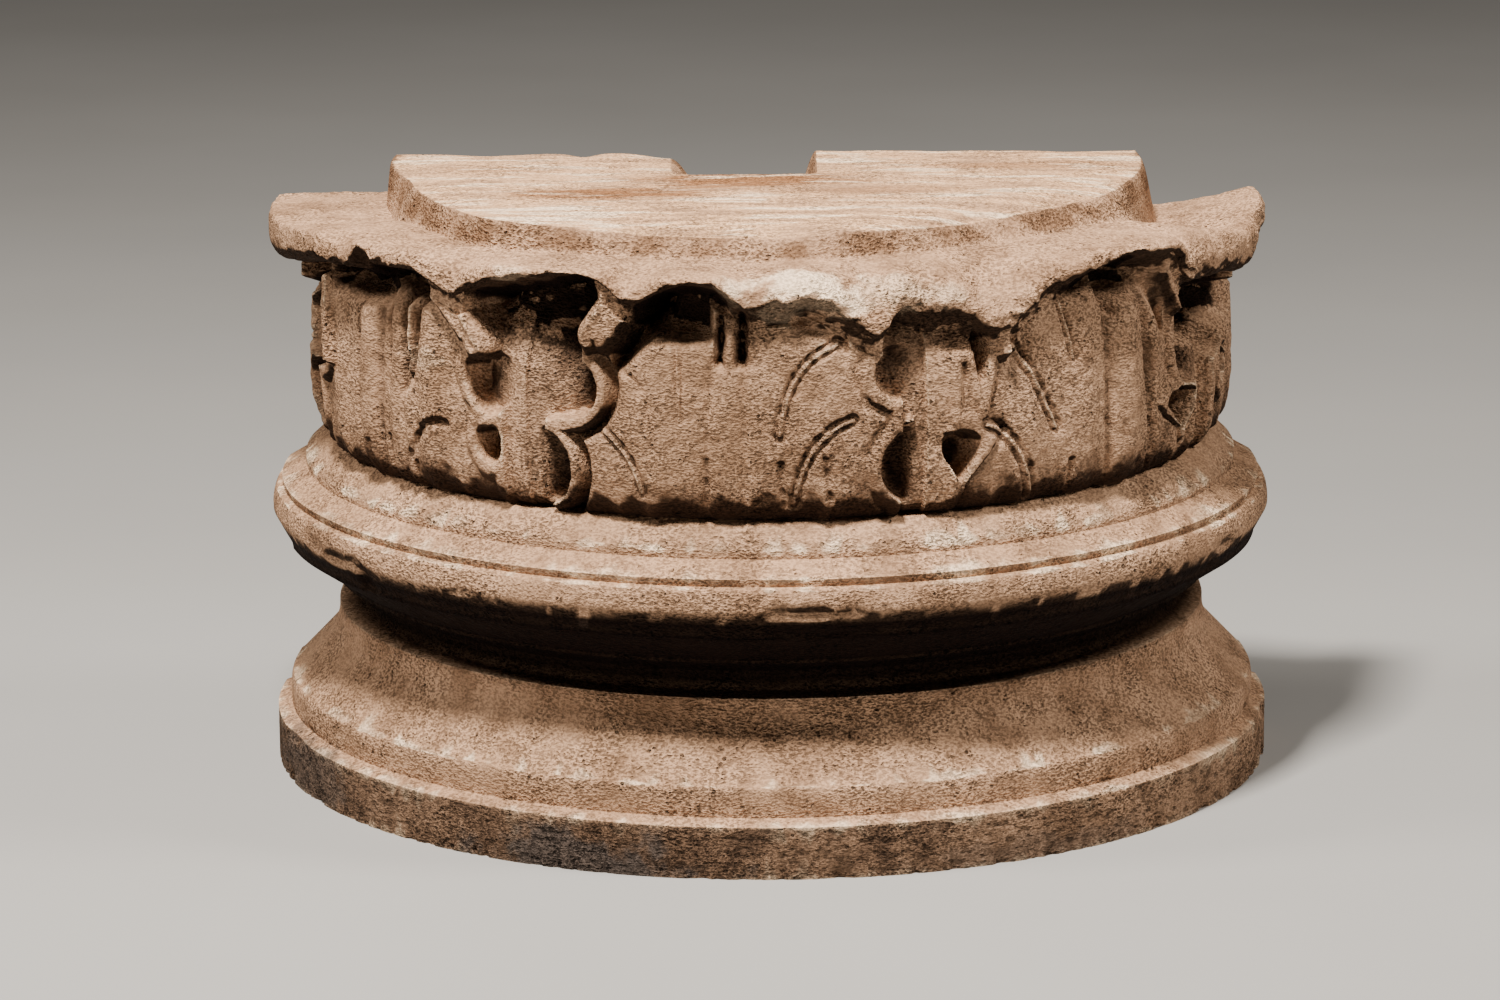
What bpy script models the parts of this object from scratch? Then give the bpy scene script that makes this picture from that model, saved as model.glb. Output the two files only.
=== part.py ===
"""Half-round limestone capital: a turned foot and torus below a ring of broken acanthus leaves.

Origin on the column's axis, on the underside. +Z up, -Y the carved front, +Y the flat rear cut.
"""
import math

import bmesh
import bpy
import numpy as np

# Overall sizes, metres
PLINTH_RADIUS = 0.2475
REAR_CUT = 0.0272

# Foot, from the underside upwards
PLINTH_HEIGHT = 0.0252
LEDGE_WIDTH = 0.0069
LEDGE_RISE = 0.0028
SHOULDER_HEIGHT = 0.0093
SHOULDER_ROUND_WIDTH = 0.0025
SHOULDER_ROUND_HEIGHT = 0.0054
SLOPE_WIDTH = 0.0166
SLOPE_HEIGHT = 0.0170
FLARE_WIDTH = 0.0060
FLARE_HEIGHT = 0.0175

# Dark neck under the torus
NECK_FILLET_HEIGHT = 0.0015
NECK_STEP = 0.0066
SCOTIA_DEPTH = 0.0047
SCOTIA_LOWER_HEIGHT = 0.0069
SCOTIA_OUTREACH = 0.0141
SCOTIA_UPPER_HEIGHT = 0.0094
FILLET_HEIGHT = 0.0022
UNDERCUT_WIDTH = 0.0228
UNDERCUT_HEIGHT = 0.0151

# Torus and the two bands above it
TORUS_OUTREACH = 0.0071
TORUS_LOWER_HEIGHT = 0.0120
TORUS_UPPER_WIDTH = 0.0042
TORUS_UPPER_HEIGHT = 0.0104
GROOVE_DEPTH = 0.0022
GROOVE_HEIGHT = 0.0006
BAND_FILLET_LEAN = 0.0010
BAND_FILLET_HEIGHT = 0.0037
BAND_WIDTH = 0.0121
BAND_HEIGHT = 0.0068
UPPER_FILLET_HEIGHT = 0.0042
SEAT_WIDTH = 0.0117
SEAT_HEIGHT = 0.0106

# Ring of leaves
LEAF_RING_HEIGHT = 0.1175
LEAF_BELLY = 0.0090
BELLY_SKEW = 0.55
BELLY_FULLNESS = 0.6
LEAF_LEAN = 0.0030
LEAF_PITCH_DEG = 49.2
FRONT_LEAF_DEG = -6.0
GROUND_DEPTH = 0.0130
CAVE_DEPTH = 0.0190
SOFFIT_DROP = 0.0090
LIP_GAP = 0.0004
LIP_LEAST = 0.0020

# Shelf and half-round boss on top
SHELF_RISE = 0.0020
SHELF_CURVE = 2.0
BOSS_HEIGHT = 0.0125
BOSS_SLOPE_CURVE = 1.4
BOSS_FULLNESS = 0.9
HORN_DIP = 0.0060
RIGHT_HORN_SAG = 0.0115

# Broken bite in the rear edge of the boss
BITE_LEFT = -0.0440
BITE_RIGHT = 0.0190
BITE_REACH = 0.0570
BITE_DEPTH = 0.0200
BITE_TAPER = 0.0100
BITE_END_SHARE = 0.6

# Facets
TURNED_STEPS = 96
LEAF_SPLIT = 3
COLUMN_CROWDING = 0.55
ARC_STEPS = 3
WALL_ROWS = 12
TIP_SHARES = (1.25, 1.5, 1.75, 2.0)
SHELF_SHARES = (2.3, 2.65, 3.0)
BOSS_SHARES = (3.45, 3.8, 4.0)
CROWDED_SHARE = 0.25
LARGEST_CARVED_FACE = 7
CUT_TOLERANCE = 0.00001
SHARP_DEG = 35.0

# One gap between two leaves, as shares of the leaf ring's height, measured from the gap's middle
EYE_ACROSS = 0.134
EYE_LEVEL = 0.495
EYE_RADIUS = 0.130
FOOT_EYE_ACROSS = 0.045
FOOT_EYE_LEVEL = 0.200
FOOT_EYE_RADIUS = 0.145
THROAT_HALF_WIDTH = 0.075
THROAT_LEVEL = 0.340
THROAT_HALF_HEIGHT = 0.070
TONGUE_ROOT = 0.220
TONGUE_TIP = 0.080
TONGUE_LEVEL = 0.352
TONGUE_THICKNESS = 0.032
CAVE_HALF_WIDTH = 0.150
CAVE_LEVEL = 0.640
CAVE_WIDENING = 0.800
STALK_HALF_WIDTH = 0.070
STALK_RISE = 0.620
CUT_EDGE = 0.030

# One leaf, as shares of the leaf ring's height, measured from the leaf's middle
LOBE_ACROSS = 0.330
LOBE_LEVEL = 0.760
LOBE_HALF_WIDTH = 0.120
LOBE_HALF_HEIGHT = 0.115
LOBE_RISE = 0.055
LOBE_SOFTNESS = 0.15
BORDER_WIDTH = 0.050
BORDER_RISE = 0.016
RIB_ACROSS = 0.078
RIB_WIDTH = 0.024
RIB_DEPTH = 0.020
FLUTE_DEPTH = 0.010
FLUTE_PITCH = 0.290
# Lower edge of the broken leaf tips: azimuth in degrees, drop under the ring's top as a share of its height
LIP_EDGE = (
    (-104, 0.27), (-90, 0.27), (-76, 0.20), (-66, 0.14), (-61.8, 0.15), (-59, 0.07), (-56.8, 0.09),
    (-46, 0.09), (-41, 0.15), (-39.7, 0.164), (-37.5, 0.11), (-34.6, 0.07), (-29, 0.036), (-25.5, 0.01),
    (-22, 0.01), (-19.5, 0.04), (-17.6, 0.11), (-14.4, 0.09), (-12, 0.045), (-9, 0.02), (-6.5, 0.03),
    (-3, 0.13), (0, 0.126), (4.8, 0.09), (8.6, 0.164), (12.5, 0.27), (14.8, 0.134), (18.2, 0.18),
    (22.9, 0.174), (26, 0.27), (29, 0.257), (31.8, 0.185), (34.5, 0.11), (38, 0.09), (44, 0.034),
    (46.8, 0.015), (52, 0.05), (55.5, 0.06), (57.5, 0.205), (69, 0.225), (74, 0.26), (80, 0.29),
    (104, 0.29),
)
# How far the tips reach out from the ring's foot: azimuth in degrees, metres
LIP_REACH = (
    (-104, 0.0285), (-84, 0.0285), (-70, 0.0230), (-60, 0.0175), (-48, 0.0190), (-40, 0.0150),
    (-30, 0.0165), (-20, 0.0175), (-12, 0.0190), (-2, 0.0140), (6, 0.0120), (13, 0.0150), (19, 0.0110),
    (27, 0.0145), (34, 0.0130), (44, 0.0175), (55, 0.0180), (66, 0.0210), (80, 0.0280), (104, 0.0285),
)
# Height of the tips' front: azimuth in degrees, metres
LIP_FRONT = (
    (-104, 0.0270), (-80, 0.0260), (-66, 0.0180), (-60, 0.0110), (-52, 0.0070), (-24, 0.0030),
    (-12, 0.0050), (0, 0.0080), (12, 0.0060), (20, 0.0090), (30, 0.0080), (44, 0.0050), (55, 0.0080),
    (58, 0.0220), (80, 0.0280), (104, 0.0280),
)
# Foot and upper edge of the boss: azimuth in degrees, radius as a share of the plinth's
BOSS_FOOT = (
    (-104, 0.768), (-80, 0.757), (-54, 0.804), (-38, 0.835), (-23, 0.805), (-9, 0.816), (18, 0.777),
    (35, 0.752), (55, 0.775), (65, 0.813), (80, 0.800), (104, 0.785),
)
BOSS_EDGE = (
    (-104, 0.757), (-90, 0.752), (-75, 0.718), (-54, 0.780), (-44, 0.820), (-33, 0.780), (-24, 0.700),
    (-11.6, 0.665), (0, 0.700), (8.6, 0.735), (25, 0.670), (32, 0.630), (42, 0.655), (59, 0.665),
    (73, 0.700), (82, 0.742), (104, 0.745),
)
HORN_START_DEG = 60.0
HORN_FULL_DEG = 78.0

# Limestone, linear colour
STONE_COLOUR = (0.378, 0.242, 0.158, 1.0)
STONE_ROUGHNESS = 0.92


def remove_scene_objects():
    """Clears the file of what it opened with."""
    for thing in list(bpy.data.objects):
        bpy.data.objects.remove(thing, do_unlink=True)


def stone_material():
    """Warm tan limestone, dry and rough."""
    material = bpy.data.materials.new("limestone")
    material.use_nodes = True
    shader = material.node_tree.nodes["Principled BSDF"]
    shader.inputs["Base Color"].default_value = STONE_COLOUR
    shader.inputs["Roughness"].default_value = STONE_ROUGHNESS
    shader.inputs["Metallic"].default_value = 0.0
    material.diffuse_color = STONE_COLOUR
    return material


class Profile:
    """A turned outline drawn upwards from the underside as (radius, height) points."""

    def __init__(self, radius):
        self.points = [(radius, 0.0)]

    def line(self, outwards, upwards):
        radius, height = self.points[-1]
        self.points.append((radius + outwards, height + upwards))

    def quarter(self, outwards, upwards, leaves_upright):
        """A quarter of an ellipse that starts upright, or level, and ends the other way."""
        radius, height = self.points[-1]
        for step in range(1, ARC_STEPS + 1):
            angle = math.pi / 2 * step / ARC_STEPS
            across = 1 - math.cos(angle) if leaves_upright else math.sin(angle)
            along = math.sin(angle) if leaves_upright else 1 - math.cos(angle)
            self.points.append((radius + outwards * across, height + upwards * along))

    def bend(self, outwards, upwards, first_upwards):
        """A curve that sets out on a slope, met at first_upwards, and ends upright."""
        radius, height = self.points[-1]
        for step in range(1, ARC_STEPS + 1):
            share = step / ARC_STEPS
            turn = 2 * share * (1 - share)
            across = outwards * (turn + share ** 2)
            self.points.append((radius + across, height + first_upwards * turn + upwards * share ** 2))


def turned_foot():
    """Plinth, shoulder, flare, dark neck, torus and bands, up to where the leaves stand."""
    outline = Profile(PLINTH_RADIUS)
    outline.line(0.0, PLINTH_HEIGHT)
    outline.line(-LEDGE_WIDTH, LEDGE_RISE)
    outline.line(0.0, SHOULDER_HEIGHT)
    outline.quarter(-SHOULDER_ROUND_WIDTH, SHOULDER_ROUND_HEIGHT, True)
    outline.line(-SLOPE_WIDTH, SLOPE_HEIGHT)
    outline.bend(-FLARE_WIDTH, FLARE_HEIGHT, FLARE_WIDTH * SLOPE_HEIGHT / SLOPE_WIDTH)
    outline.line(0.0, NECK_FILLET_HEIGHT)
    outline.line(-NECK_STEP, NECK_FILLET_HEIGHT)
    outline.quarter(-SCOTIA_DEPTH, SCOTIA_LOWER_HEIGHT, False)
    outline.quarter(SCOTIA_OUTREACH, SCOTIA_UPPER_HEIGHT, True)
    outline.line(0.0, FILLET_HEIGHT)
    outline.line(UNDERCUT_WIDTH, UNDERCUT_HEIGHT)
    outline.line(0.0, FILLET_HEIGHT)
    outline.line(TORUS_OUTREACH, TORUS_LOWER_HEIGHT)
    outline.quarter(-TORUS_UPPER_WIDTH, TORUS_UPPER_HEIGHT, True)
    outline.line(-GROOVE_DEPTH, GROOVE_HEIGHT)
    outline.line(BAND_FILLET_LEAN, BAND_FILLET_HEIGHT)
    outline.line(-BAND_WIDTH, BAND_HEIGHT)
    outline.line(0.0, UPPER_FILLET_HEIGHT)
    outline.line(-SEAT_WIDTH, SEAT_HEIGHT)
    return outline.points


def smooth(low, high, value):
    """0 below low, 1 above high, with an easy passage between."""
    share = np.clip((value - low) / (high - low), 0.0, 1.0)
    return share * share * (3 - 2 * share)


def hump(value, centre, half_width):
    """A rounded bump of height 1 at the centre."""
    return np.exp(-((value - centre) / half_width) ** 2)


def gap_distance(across, level):
    """Distance outside the pierced gap between two leaves, in shares of the ring's height.

    across is measured from the gap's middle. On each side an upper and a lower eye stand over each
    other, with a pointed tongue of the leaf's border between them, and the gap opens into a cave.
    """
    side = np.abs(across)
    eye = np.hypot(side - EYE_ACROSS, level - EYE_LEVEL) - EYE_RADIUS
    between = np.maximum(side - EYE_ACROSS, np.abs(level - EYE_LEVEL) - EYE_RADIUS)
    foot_eye = np.hypot(np.maximum(side - FOOT_EYE_ACROSS, 0.0), level - FOOT_EYE_LEVEL) - FOOT_EYE_RADIUS
    throat = np.maximum(side - THROAT_HALF_WIDTH, np.abs(level - THROAT_LEVEL) - THROAT_HALF_HEIGHT)
    point = np.clip(side, TONGUE_TIP, TONGUE_ROOT)
    thickness = TONGUE_THICKNESS * (point - TONGUE_TIP) / (TONGUE_ROOT - TONGUE_TIP)
    tongue = np.hypot(side - point, level - TONGUE_LEVEL) - thickness
    opened = np.minimum(np.minimum(eye, between), np.minimum(foot_eye, throat))
    cave_side = side - CAVE_HALF_WIDTH - CAVE_WIDENING * np.maximum(level - CAVE_LEVEL, 0.0)
    cave = np.maximum(cave_side, CAVE_LEVEL - level)
    return np.minimum(np.maximum(opened, -tongue), cave)


def leaf_relief(across, from_gap, level, distance):
    """Relief of a leaf's face in shares of the ring's height: ribs, flutes, lobes and border."""
    side = np.abs(across)
    rib = -RIB_DEPTH * hump(side, RIB_ACROSS, RIB_WIDTH)
    flute = FLUTE_DEPTH * np.cos((side - RIB_ACROSS) * 2 * math.pi / FLUTE_PITCH) * (1 - level)
    lobe_side = (np.abs(from_gap) - LOBE_ACROSS) / LOBE_HALF_WIDTH
    lobe_far = np.hypot(lobe_side, (level - LOBE_LEVEL) / LOBE_HALF_HEIGHT)
    lobe = LOBE_RISE * smooth(1 + LOBE_SOFTNESS, 1 - LOBE_SOFTNESS, lobe_far)
    border = BORDER_RISE * hump(distance, BORDER_WIDTH / 2, BORDER_WIDTH / 2)
    return rib + flute + lobe + border


def leaf_azimuths(azimuth):
    """Signed degrees from the middle of the nearest gap and from the middle of the nearest leaf."""
    from_leaf = (azimuth - FRONT_LEAF_DEG + LEAF_PITCH_DEG / 2) % LEAF_PITCH_DEG - LEAF_PITCH_DEG / 2
    from_gap = (azimuth - FRONT_LEAF_DEG) % LEAF_PITCH_DEG - LEAF_PITCH_DEG / 2
    return from_gap, from_leaf


def crowd_to_gaps(azimuth, share):
    """Draws the columns of points together at the gaps, where the carving is close."""
    from_gap, _ = leaf_azimuths(azimuth)
    turn = from_gap * 2 * math.pi / LEAF_PITCH_DEG
    pull = COLUMN_CROWDING * smooth(0.0, CROWDED_SHARE, share) * smooth(2.0, 1.0, share)
    return azimuth - pull * LEAF_PITCH_DEG / (2 * math.pi) * np.sin(turn)


def along_ring(table, azimuth):
    """Value of a table of (azimuth, value) pairs."""
    angles, values = zip(*table)
    return np.interp(azimuth, angles, values)


def wall_radius(azimuth, level, up, foot_radius):
    """Radius of the carved wall of leaves."""
    ring = LEAF_RING_HEIGHT
    from_gap, from_leaf = leaf_azimuths(azimuth)
    degree = math.radians(1.0) * (foot_radius + LEAF_BELLY) / ring
    distance = gap_distance(from_gap * degree, level)
    inside = smooth(CUT_EDGE / 2, -CUT_EDGE, distance)
    stalk = STALK_RISE * hump(from_gap * degree, 0.0, STALK_HALF_WIDTH) * smooth(1.0, CAVE_LEVEL, level)
    ground = GROUND_DEPTH + (CAVE_DEPTH - GROUND_DEPTH) * smooth(EYE_LEVEL, CAVE_LEVEL, level)
    belly = LEAF_BELLY * np.sin(math.pi * up ** BELLY_SKEW) ** BELLY_FULLNESS + LEAF_LEAN * up
    relief = ring * leaf_relief(from_leaf * degree, from_gap * degree, level, distance)
    return foot_radius + belly + relief * (1 - inside) - ground * (1 - stalk) * inside


def carve_ring(azimuth, share, foot):
    """Radius and height of a carved point.

    share runs 0 to 1 up the leaves, 1 to 2 out and up over their tips, 2 to 3 in over the shelf and
    3 to 4 up the side of the boss.
    """
    foot_radius, foot_height = foot
    horn = smooth(HORN_START_DEG, HORN_FULL_DEG, np.abs(azimuth))
    ring_top = foot_height + LEAF_RING_HEIGHT
    shelf_height = ring_top + SHELF_RISE - HORN_DIP * horn
    lip_edge = ring_top - LEAF_RING_HEIGHT * along_ring(LIP_EDGE, azimuth)
    lip_high = np.minimum(lip_edge + along_ring(LIP_FRONT, azimuth), shelf_height - LIP_GAP)
    lip_low = np.minimum(lip_edge, lip_high - LIP_LEAST)
    wall_top = lip_low - SOFFIT_DROP * (1 - horn)
    up = np.clip(share, 0.0, 1.0)
    height = foot_height + (wall_top - foot_height) * up
    wall = wall_radius(azimuth, (height - foot_height) / LEAF_RING_HEIGHT, up, foot_radius)
    lip_radius = foot_radius + along_ring(LIP_REACH, azimuth)
    out = smooth(1.0, 1.5, share)
    over = smooth(1.5, 2.0, share)
    inwards = np.clip(share - 2, 0.0, 1.0)
    risen = np.clip(share - 3, 0.0, 1.0)
    boss_foot = PLINTH_RADIUS * along_ring(BOSS_FOOT, azimuth)
    boss_edge = PLINTH_RADIUS * along_ring(BOSS_EDGE, azimuth)
    sag = RIGHT_HORN_SAG * smooth(HORN_START_DEG, HORN_FULL_DEG, azimuth)
    shelf_foot = shelf_height - sag
    radius = wall + (lip_radius - wall) * out
    height = height + (lip_low - wall_top) * out + (lip_high - lip_low) * over
    radius = radius + (boss_foot - radius) * inwards
    height = np.where(share > 2, shelf_foot - (shelf_foot - lip_high) * (1 - inwards) ** SHELF_CURVE, height)
    boss_rise = ring_top + SHELF_RISE + BOSS_HEIGHT - shelf_foot
    boss_radius = boss_edge + (boss_foot - boss_edge) * (1 - risen) ** BOSS_SLOPE_CURVE
    radius = np.where(share > 3, boss_radius, radius)
    height = height + boss_rise * np.sin(risen * math.pi / 2) ** BOSS_FULLNESS
    return radius, height


def build_capital(material):
    """One stone: the blank is turned all round, carved, then cut flat behind the axis."""
    foot = turned_foot()
    foot_radius, foot_height = foot[-1]
    first = len(foot) - 1
    shares = [row / WALL_ROWS for row in range(1, WALL_ROWS + 1)] + list(TIP_SHARES)
    last = first + len(shares)
    shares = shares + list(SHELF_SHARES + BOSS_SHARES)
    mesh_edit = bmesh.new()
    row_layer = mesh_edit.verts.layers.float.new("row")
    column = []
    for index, (radius, height) in enumerate(foot + [(foot_radius, foot_height + share) for share in shares]):
        vertex = mesh_edit.verts.new((radius, 0.0, height))
        vertex[row_layer] = index
        column.append(vertex)
    edges = [mesh_edit.edges.new(pair) for pair in zip(column, column[1:])]
    bmesh.ops.spin(mesh_edit, geom=column + edges, cent=(0, 0, 0), axis=(0, 0, 1), dvec=(0, 0, 0),
                   angle=2 * math.pi, steps=TURNED_STEPS, use_merge=True)
    level_edges = [edge for edge in mesh_edit.edges
                   if edge.verts[0][row_layer] == edge.verts[1][row_layer]
                   and first < edge.verts[0][row_layer] < last + 1]
    bmesh.ops.subdivide_edges(mesh_edit, edges=level_edges, cuts=LEAF_SPLIT - 1, use_grid_fill=True)
    rims = [edge for edge in mesh_edit.edges if edge.is_boundary]
    bmesh.ops.edgeloop_fill(mesh_edit, edges=rims)
    place_vertices(mesh_edit, row_layer, foot, shares)
    carved = [face for face in mesh_edit.faces if len(face.verts) <= LARGEST_CARVED_FACE]
    bmesh.ops.triangulate(mesh_edit, faces=carved)
    whole = list(mesh_edit.verts) + list(mesh_edit.edges) + list(mesh_edit.faces)
    bmesh.ops.bisect_plane(mesh_edit, geom=whole, dist=CUT_TOLERANCE, plane_co=(0, REAR_CUT, 0),
                           plane_no=(0, 1, 0), clear_outer=True)
    cut = [edge for edge in mesh_edit.edges if edge.is_boundary]
    bmesh.ops.edgeloop_fill(mesh_edit, edges=cut)
    bmesh.ops.recalc_face_normals(mesh_edit, faces=list(mesh_edit.faces))
    mesh = bpy.data.meshes.new("capital_block")
    mesh_edit.to_mesh(mesh)
    mesh_edit.free()
    mesh.materials.append(material)
    mesh.shade_smooth()
    mesh.set_sharp_from_angle(angle=math.radians(SHARP_DEG))
    block = bpy.data.objects.new("capital_block", mesh)
    bpy.context.scene.collection.objects.link(block)
    return block


def place_vertices(mesh_edit, row_layer, foot, shares):
    """Moves every point of the blank to its turned or carved radius and height."""
    points = list(mesh_edit.verts)
    place = np.array([tuple(point.co) for point in points])
    row = np.round([point[row_layer] for point in points]).astype(int)
    azimuth = np.degrees(np.arctan2(place[:, 0], -place[:, 1]))
    carved = row >= len(foot)
    turned = ~carved
    radius = np.empty(len(points))
    height = np.empty(len(points))
    radius[turned], height[turned] = np.array(foot)[row[turned]].T
    share = np.array(shares)[row[carved] - len(foot)]
    azimuth[carved] = crowd_to_gaps(azimuth[carved], share)
    radius[carved], height[carved] = carve_ring(azimuth[carved], share, foot[-1])
    turn = np.radians(azimuth)
    for point, x, y, z in zip(points, radius * np.sin(turn), -radius * np.cos(turn), height):
        point.co = (x, y, z)


def bite_cutter(top_height):
    """The broken bite behind, wider at its mouth than at its end."""
    mesh_edit = bmesh.new()
    bmesh.ops.create_cube(mesh_edit, size=1.0)
    mouth = REAR_CUT + BITE_TAPER
    inner = REAR_CUT - BITE_REACH
    for point in mesh_edit.verts:
        at_mouth = point.co.y > 0
        taper = 0.0 if at_mouth else BITE_TAPER
        depth = BITE_DEPTH * (1.0 if at_mouth else BITE_END_SHARE)
        point.co.x = BITE_RIGHT - taper if point.co.x > 0 else BITE_LEFT + taper
        point.co.y = mouth if at_mouth else inner
        point.co.z = top_height + BITE_DEPTH if point.co.z > 0 else top_height - depth
    mesh = bpy.data.meshes.new("rear_bite_cutter")
    mesh_edit.to_mesh(mesh)
    mesh_edit.free()
    cutter = bpy.data.objects.new("rear_bite_cutter", mesh)
    bpy.context.scene.collection.objects.link(cutter)
    cutter.hide_render = True
    cutter.display_type = "WIRE"
    return cutter


def cut_bite(block):
    """Takes the broken bite out of the rear edge."""
    top_height = max(vertex.co.z for vertex in block.data.vertices)
    cut = block.modifiers.new("rear bite", "BOOLEAN")
    cut.operation = "DIFFERENCE"
    cut.object = bite_cutter(top_height)


def main():
    remove_scene_objects()
    block = build_capital(stone_material())
    cut_bite(block)


main()
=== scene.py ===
import math

import bmesh
import bpy
import numpy as np
from mathutils import Matrix, Vector, noise


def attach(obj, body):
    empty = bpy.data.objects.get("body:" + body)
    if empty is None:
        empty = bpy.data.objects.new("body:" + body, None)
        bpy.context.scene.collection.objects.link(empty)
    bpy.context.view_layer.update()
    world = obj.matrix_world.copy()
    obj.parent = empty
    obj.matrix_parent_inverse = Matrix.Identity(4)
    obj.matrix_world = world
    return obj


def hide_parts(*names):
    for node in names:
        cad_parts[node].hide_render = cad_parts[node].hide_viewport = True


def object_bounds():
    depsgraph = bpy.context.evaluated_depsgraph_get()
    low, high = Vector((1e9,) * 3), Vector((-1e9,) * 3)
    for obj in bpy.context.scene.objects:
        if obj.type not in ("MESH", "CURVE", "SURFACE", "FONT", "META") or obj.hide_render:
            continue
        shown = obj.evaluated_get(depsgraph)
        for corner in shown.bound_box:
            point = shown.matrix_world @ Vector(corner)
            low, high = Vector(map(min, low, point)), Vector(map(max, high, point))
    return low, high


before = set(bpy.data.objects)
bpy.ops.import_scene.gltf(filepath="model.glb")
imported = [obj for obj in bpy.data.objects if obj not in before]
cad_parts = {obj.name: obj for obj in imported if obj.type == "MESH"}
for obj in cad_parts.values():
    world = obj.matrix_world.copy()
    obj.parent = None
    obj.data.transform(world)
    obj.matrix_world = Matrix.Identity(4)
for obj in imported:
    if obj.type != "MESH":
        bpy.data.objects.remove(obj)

cad_low, cad_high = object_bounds()

# Camera
# The photograph is taken with a long lens, nearly twelve plinth radii in front of the column's axis,
# looking a little down on the stone and tipped by a fraction of a degree.
PLINTH_RADIUS = -cad_low.y
CAMERA_PLACE = Vector((-0.041, -11.788, 3.265)) * PLINTH_RADIUS
CAMERA_DOWN_DEG = 13.21
CAMERA_TIP_DEG = -0.37
CAMERA_LENS_MM = 144.0
CAMERA_SENSOR_MM = 36.0
CAMERA_NEAR = 0.1
CAMERA_FAR = 60.0

camera_data = bpy.data.cameras.new("camera")
camera_data.lens = CAMERA_LENS_MM
camera_data.sensor_width = CAMERA_SENSOR_MM
camera_data.clip_start = CAMERA_NEAR
camera_data.clip_end = CAMERA_FAR
camera = bpy.data.objects.new("camera", camera_data)
bpy.context.scene.collection.objects.link(camera)
camera.matrix_world = (Matrix.Translation(CAMERA_PLACE)
                       @ Matrix.Rotation(math.radians(90 - CAMERA_DOWN_DEG), 4, "X")
                       @ Matrix.Rotation(math.radians(CAMERA_TIP_DEG), 4, "Z"))
bpy.context.scene.camera = camera

# Turned foot, neck, torus and bands of the stone
# The whole capital is one limestone block. Its lower half is cut to a compass line: a plinth disc, a low
# shoulder, a sloping flare, a dark neck with two fillets, a torus and two sloping bands. Sizes are in metres.
REAR_CUT = cad_high.y
PLINTH_HEIGHT = 0.0252
LEDGE_WIDTH = 0.0069
LEDGE_RISE = 0.0028
SHOULDER_HEIGHT = 0.0093
SHOULDER_ROUND_WIDTH = 0.0025
SHOULDER_ROUND_HEIGHT = 0.0054
SLOPE_WIDTH = 0.0166
SLOPE_HEIGHT = 0.0170
FLARE_WIDTH = 0.0060
FLARE_HEIGHT = 0.0175
NECK_FILLET_HEIGHT = 0.0015
NECK_STEP = 0.0066
SCOTIA_DEPTH = 0.0047
SCOTIA_LOWER_HEIGHT = 0.0069
SCOTIA_OUTREACH = 0.0141
SCOTIA_UPPER_HEIGHT = 0.0094
FILLET_HEIGHT = 0.0022
UNDERCUT_WIDTH = 0.0228
UNDERCUT_HEIGHT = 0.0151
TORUS_OUTREACH = 0.0065
TORUS_LOWER_HEIGHT = 0.0120
TORUS_UPPER_WIDTH = 0.0036
TORUS_UPPER_HEIGHT = 0.0104
GROOVE_DEPTH = 0.0022
GROOVE_HEIGHT = 0.0006
BAND_FILLET_LEAN = 0.0010
BAND_FILLET_HEIGHT = 0.0037
BAND_WIDTH = 0.0121
BAND_HEIGHT = 0.0068
UPPER_FILLET_HEIGHT = 0.0042
SEAT_WIDTH = 0.0117
SEAT_HEIGHT = 0.0106
ARC_STEPS = 8
TURNED_ROW_STEP = 0.0016


class Outline:
    """A turned outline drawn upwards from the underside as (radius, height) points."""

    def __init__(self, radius):
        self.points = [(radius, 0.0)]

    def to(self, radius, height):
        """A straight stretch, with a point every row step."""
        start_radius, start_height = self.points[-1]
        count = max(1, round(math.hypot(radius - start_radius, height - start_height) / TURNED_ROW_STEP))
        for step in range(1, count + 1):
            share = step / count
            self.points.append((start_radius + (radius - start_radius) * share,
                                start_height + (height - start_height) * share))

    def line(self, outwards, upwards):
        """A straight stretch measured from the last point."""
        radius, height = self.points[-1]
        self.to(radius + outwards, height + upwards)

    def quarter(self, outwards, upwards, leaves_upright):
        """A quarter of an ellipse that starts upright, or level, and ends the other way."""
        radius, height = self.points[-1]
        for step in range(1, ARC_STEPS + 1):
            angle = math.pi / 2 * step / ARC_STEPS
            across = 1 - math.cos(angle) if leaves_upright else math.sin(angle)
            along = math.sin(angle) if leaves_upright else 1 - math.cos(angle)
            self.to(radius + outwards * across, height + upwards * along)

    def bend(self, outwards, upwards, first_upwards):
        """A curve that sets out on a slope, met at first_upwards, and ends upright."""
        radius, height = self.points[-1]
        for step in range(1, ARC_STEPS + 1):
            share = step / ARC_STEPS
            turn = 2 * share * (1 - share)
            self.to(radius + outwards * (turn + share ** 2),
                    height + first_upwards * turn + upwards * share ** 2)


outline = Outline(PLINTH_RADIUS)
outline.line(0.0, PLINTH_HEIGHT)
outline.line(-LEDGE_WIDTH, LEDGE_RISE)
outline.line(0.0, SHOULDER_HEIGHT)
outline.quarter(-SHOULDER_ROUND_WIDTH, SHOULDER_ROUND_HEIGHT, True)
outline.line(-SLOPE_WIDTH, SLOPE_HEIGHT)
outline.bend(-FLARE_WIDTH, FLARE_HEIGHT, FLARE_WIDTH * SLOPE_HEIGHT / SLOPE_WIDTH)
outline.line(0.0, NECK_FILLET_HEIGHT)
outline.line(-NECK_STEP, NECK_FILLET_HEIGHT)
outline.quarter(-SCOTIA_DEPTH, SCOTIA_LOWER_HEIGHT, False)
outline.quarter(SCOTIA_OUTREACH, SCOTIA_UPPER_HEIGHT, True)
outline.line(0.0, FILLET_HEIGHT)
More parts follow.
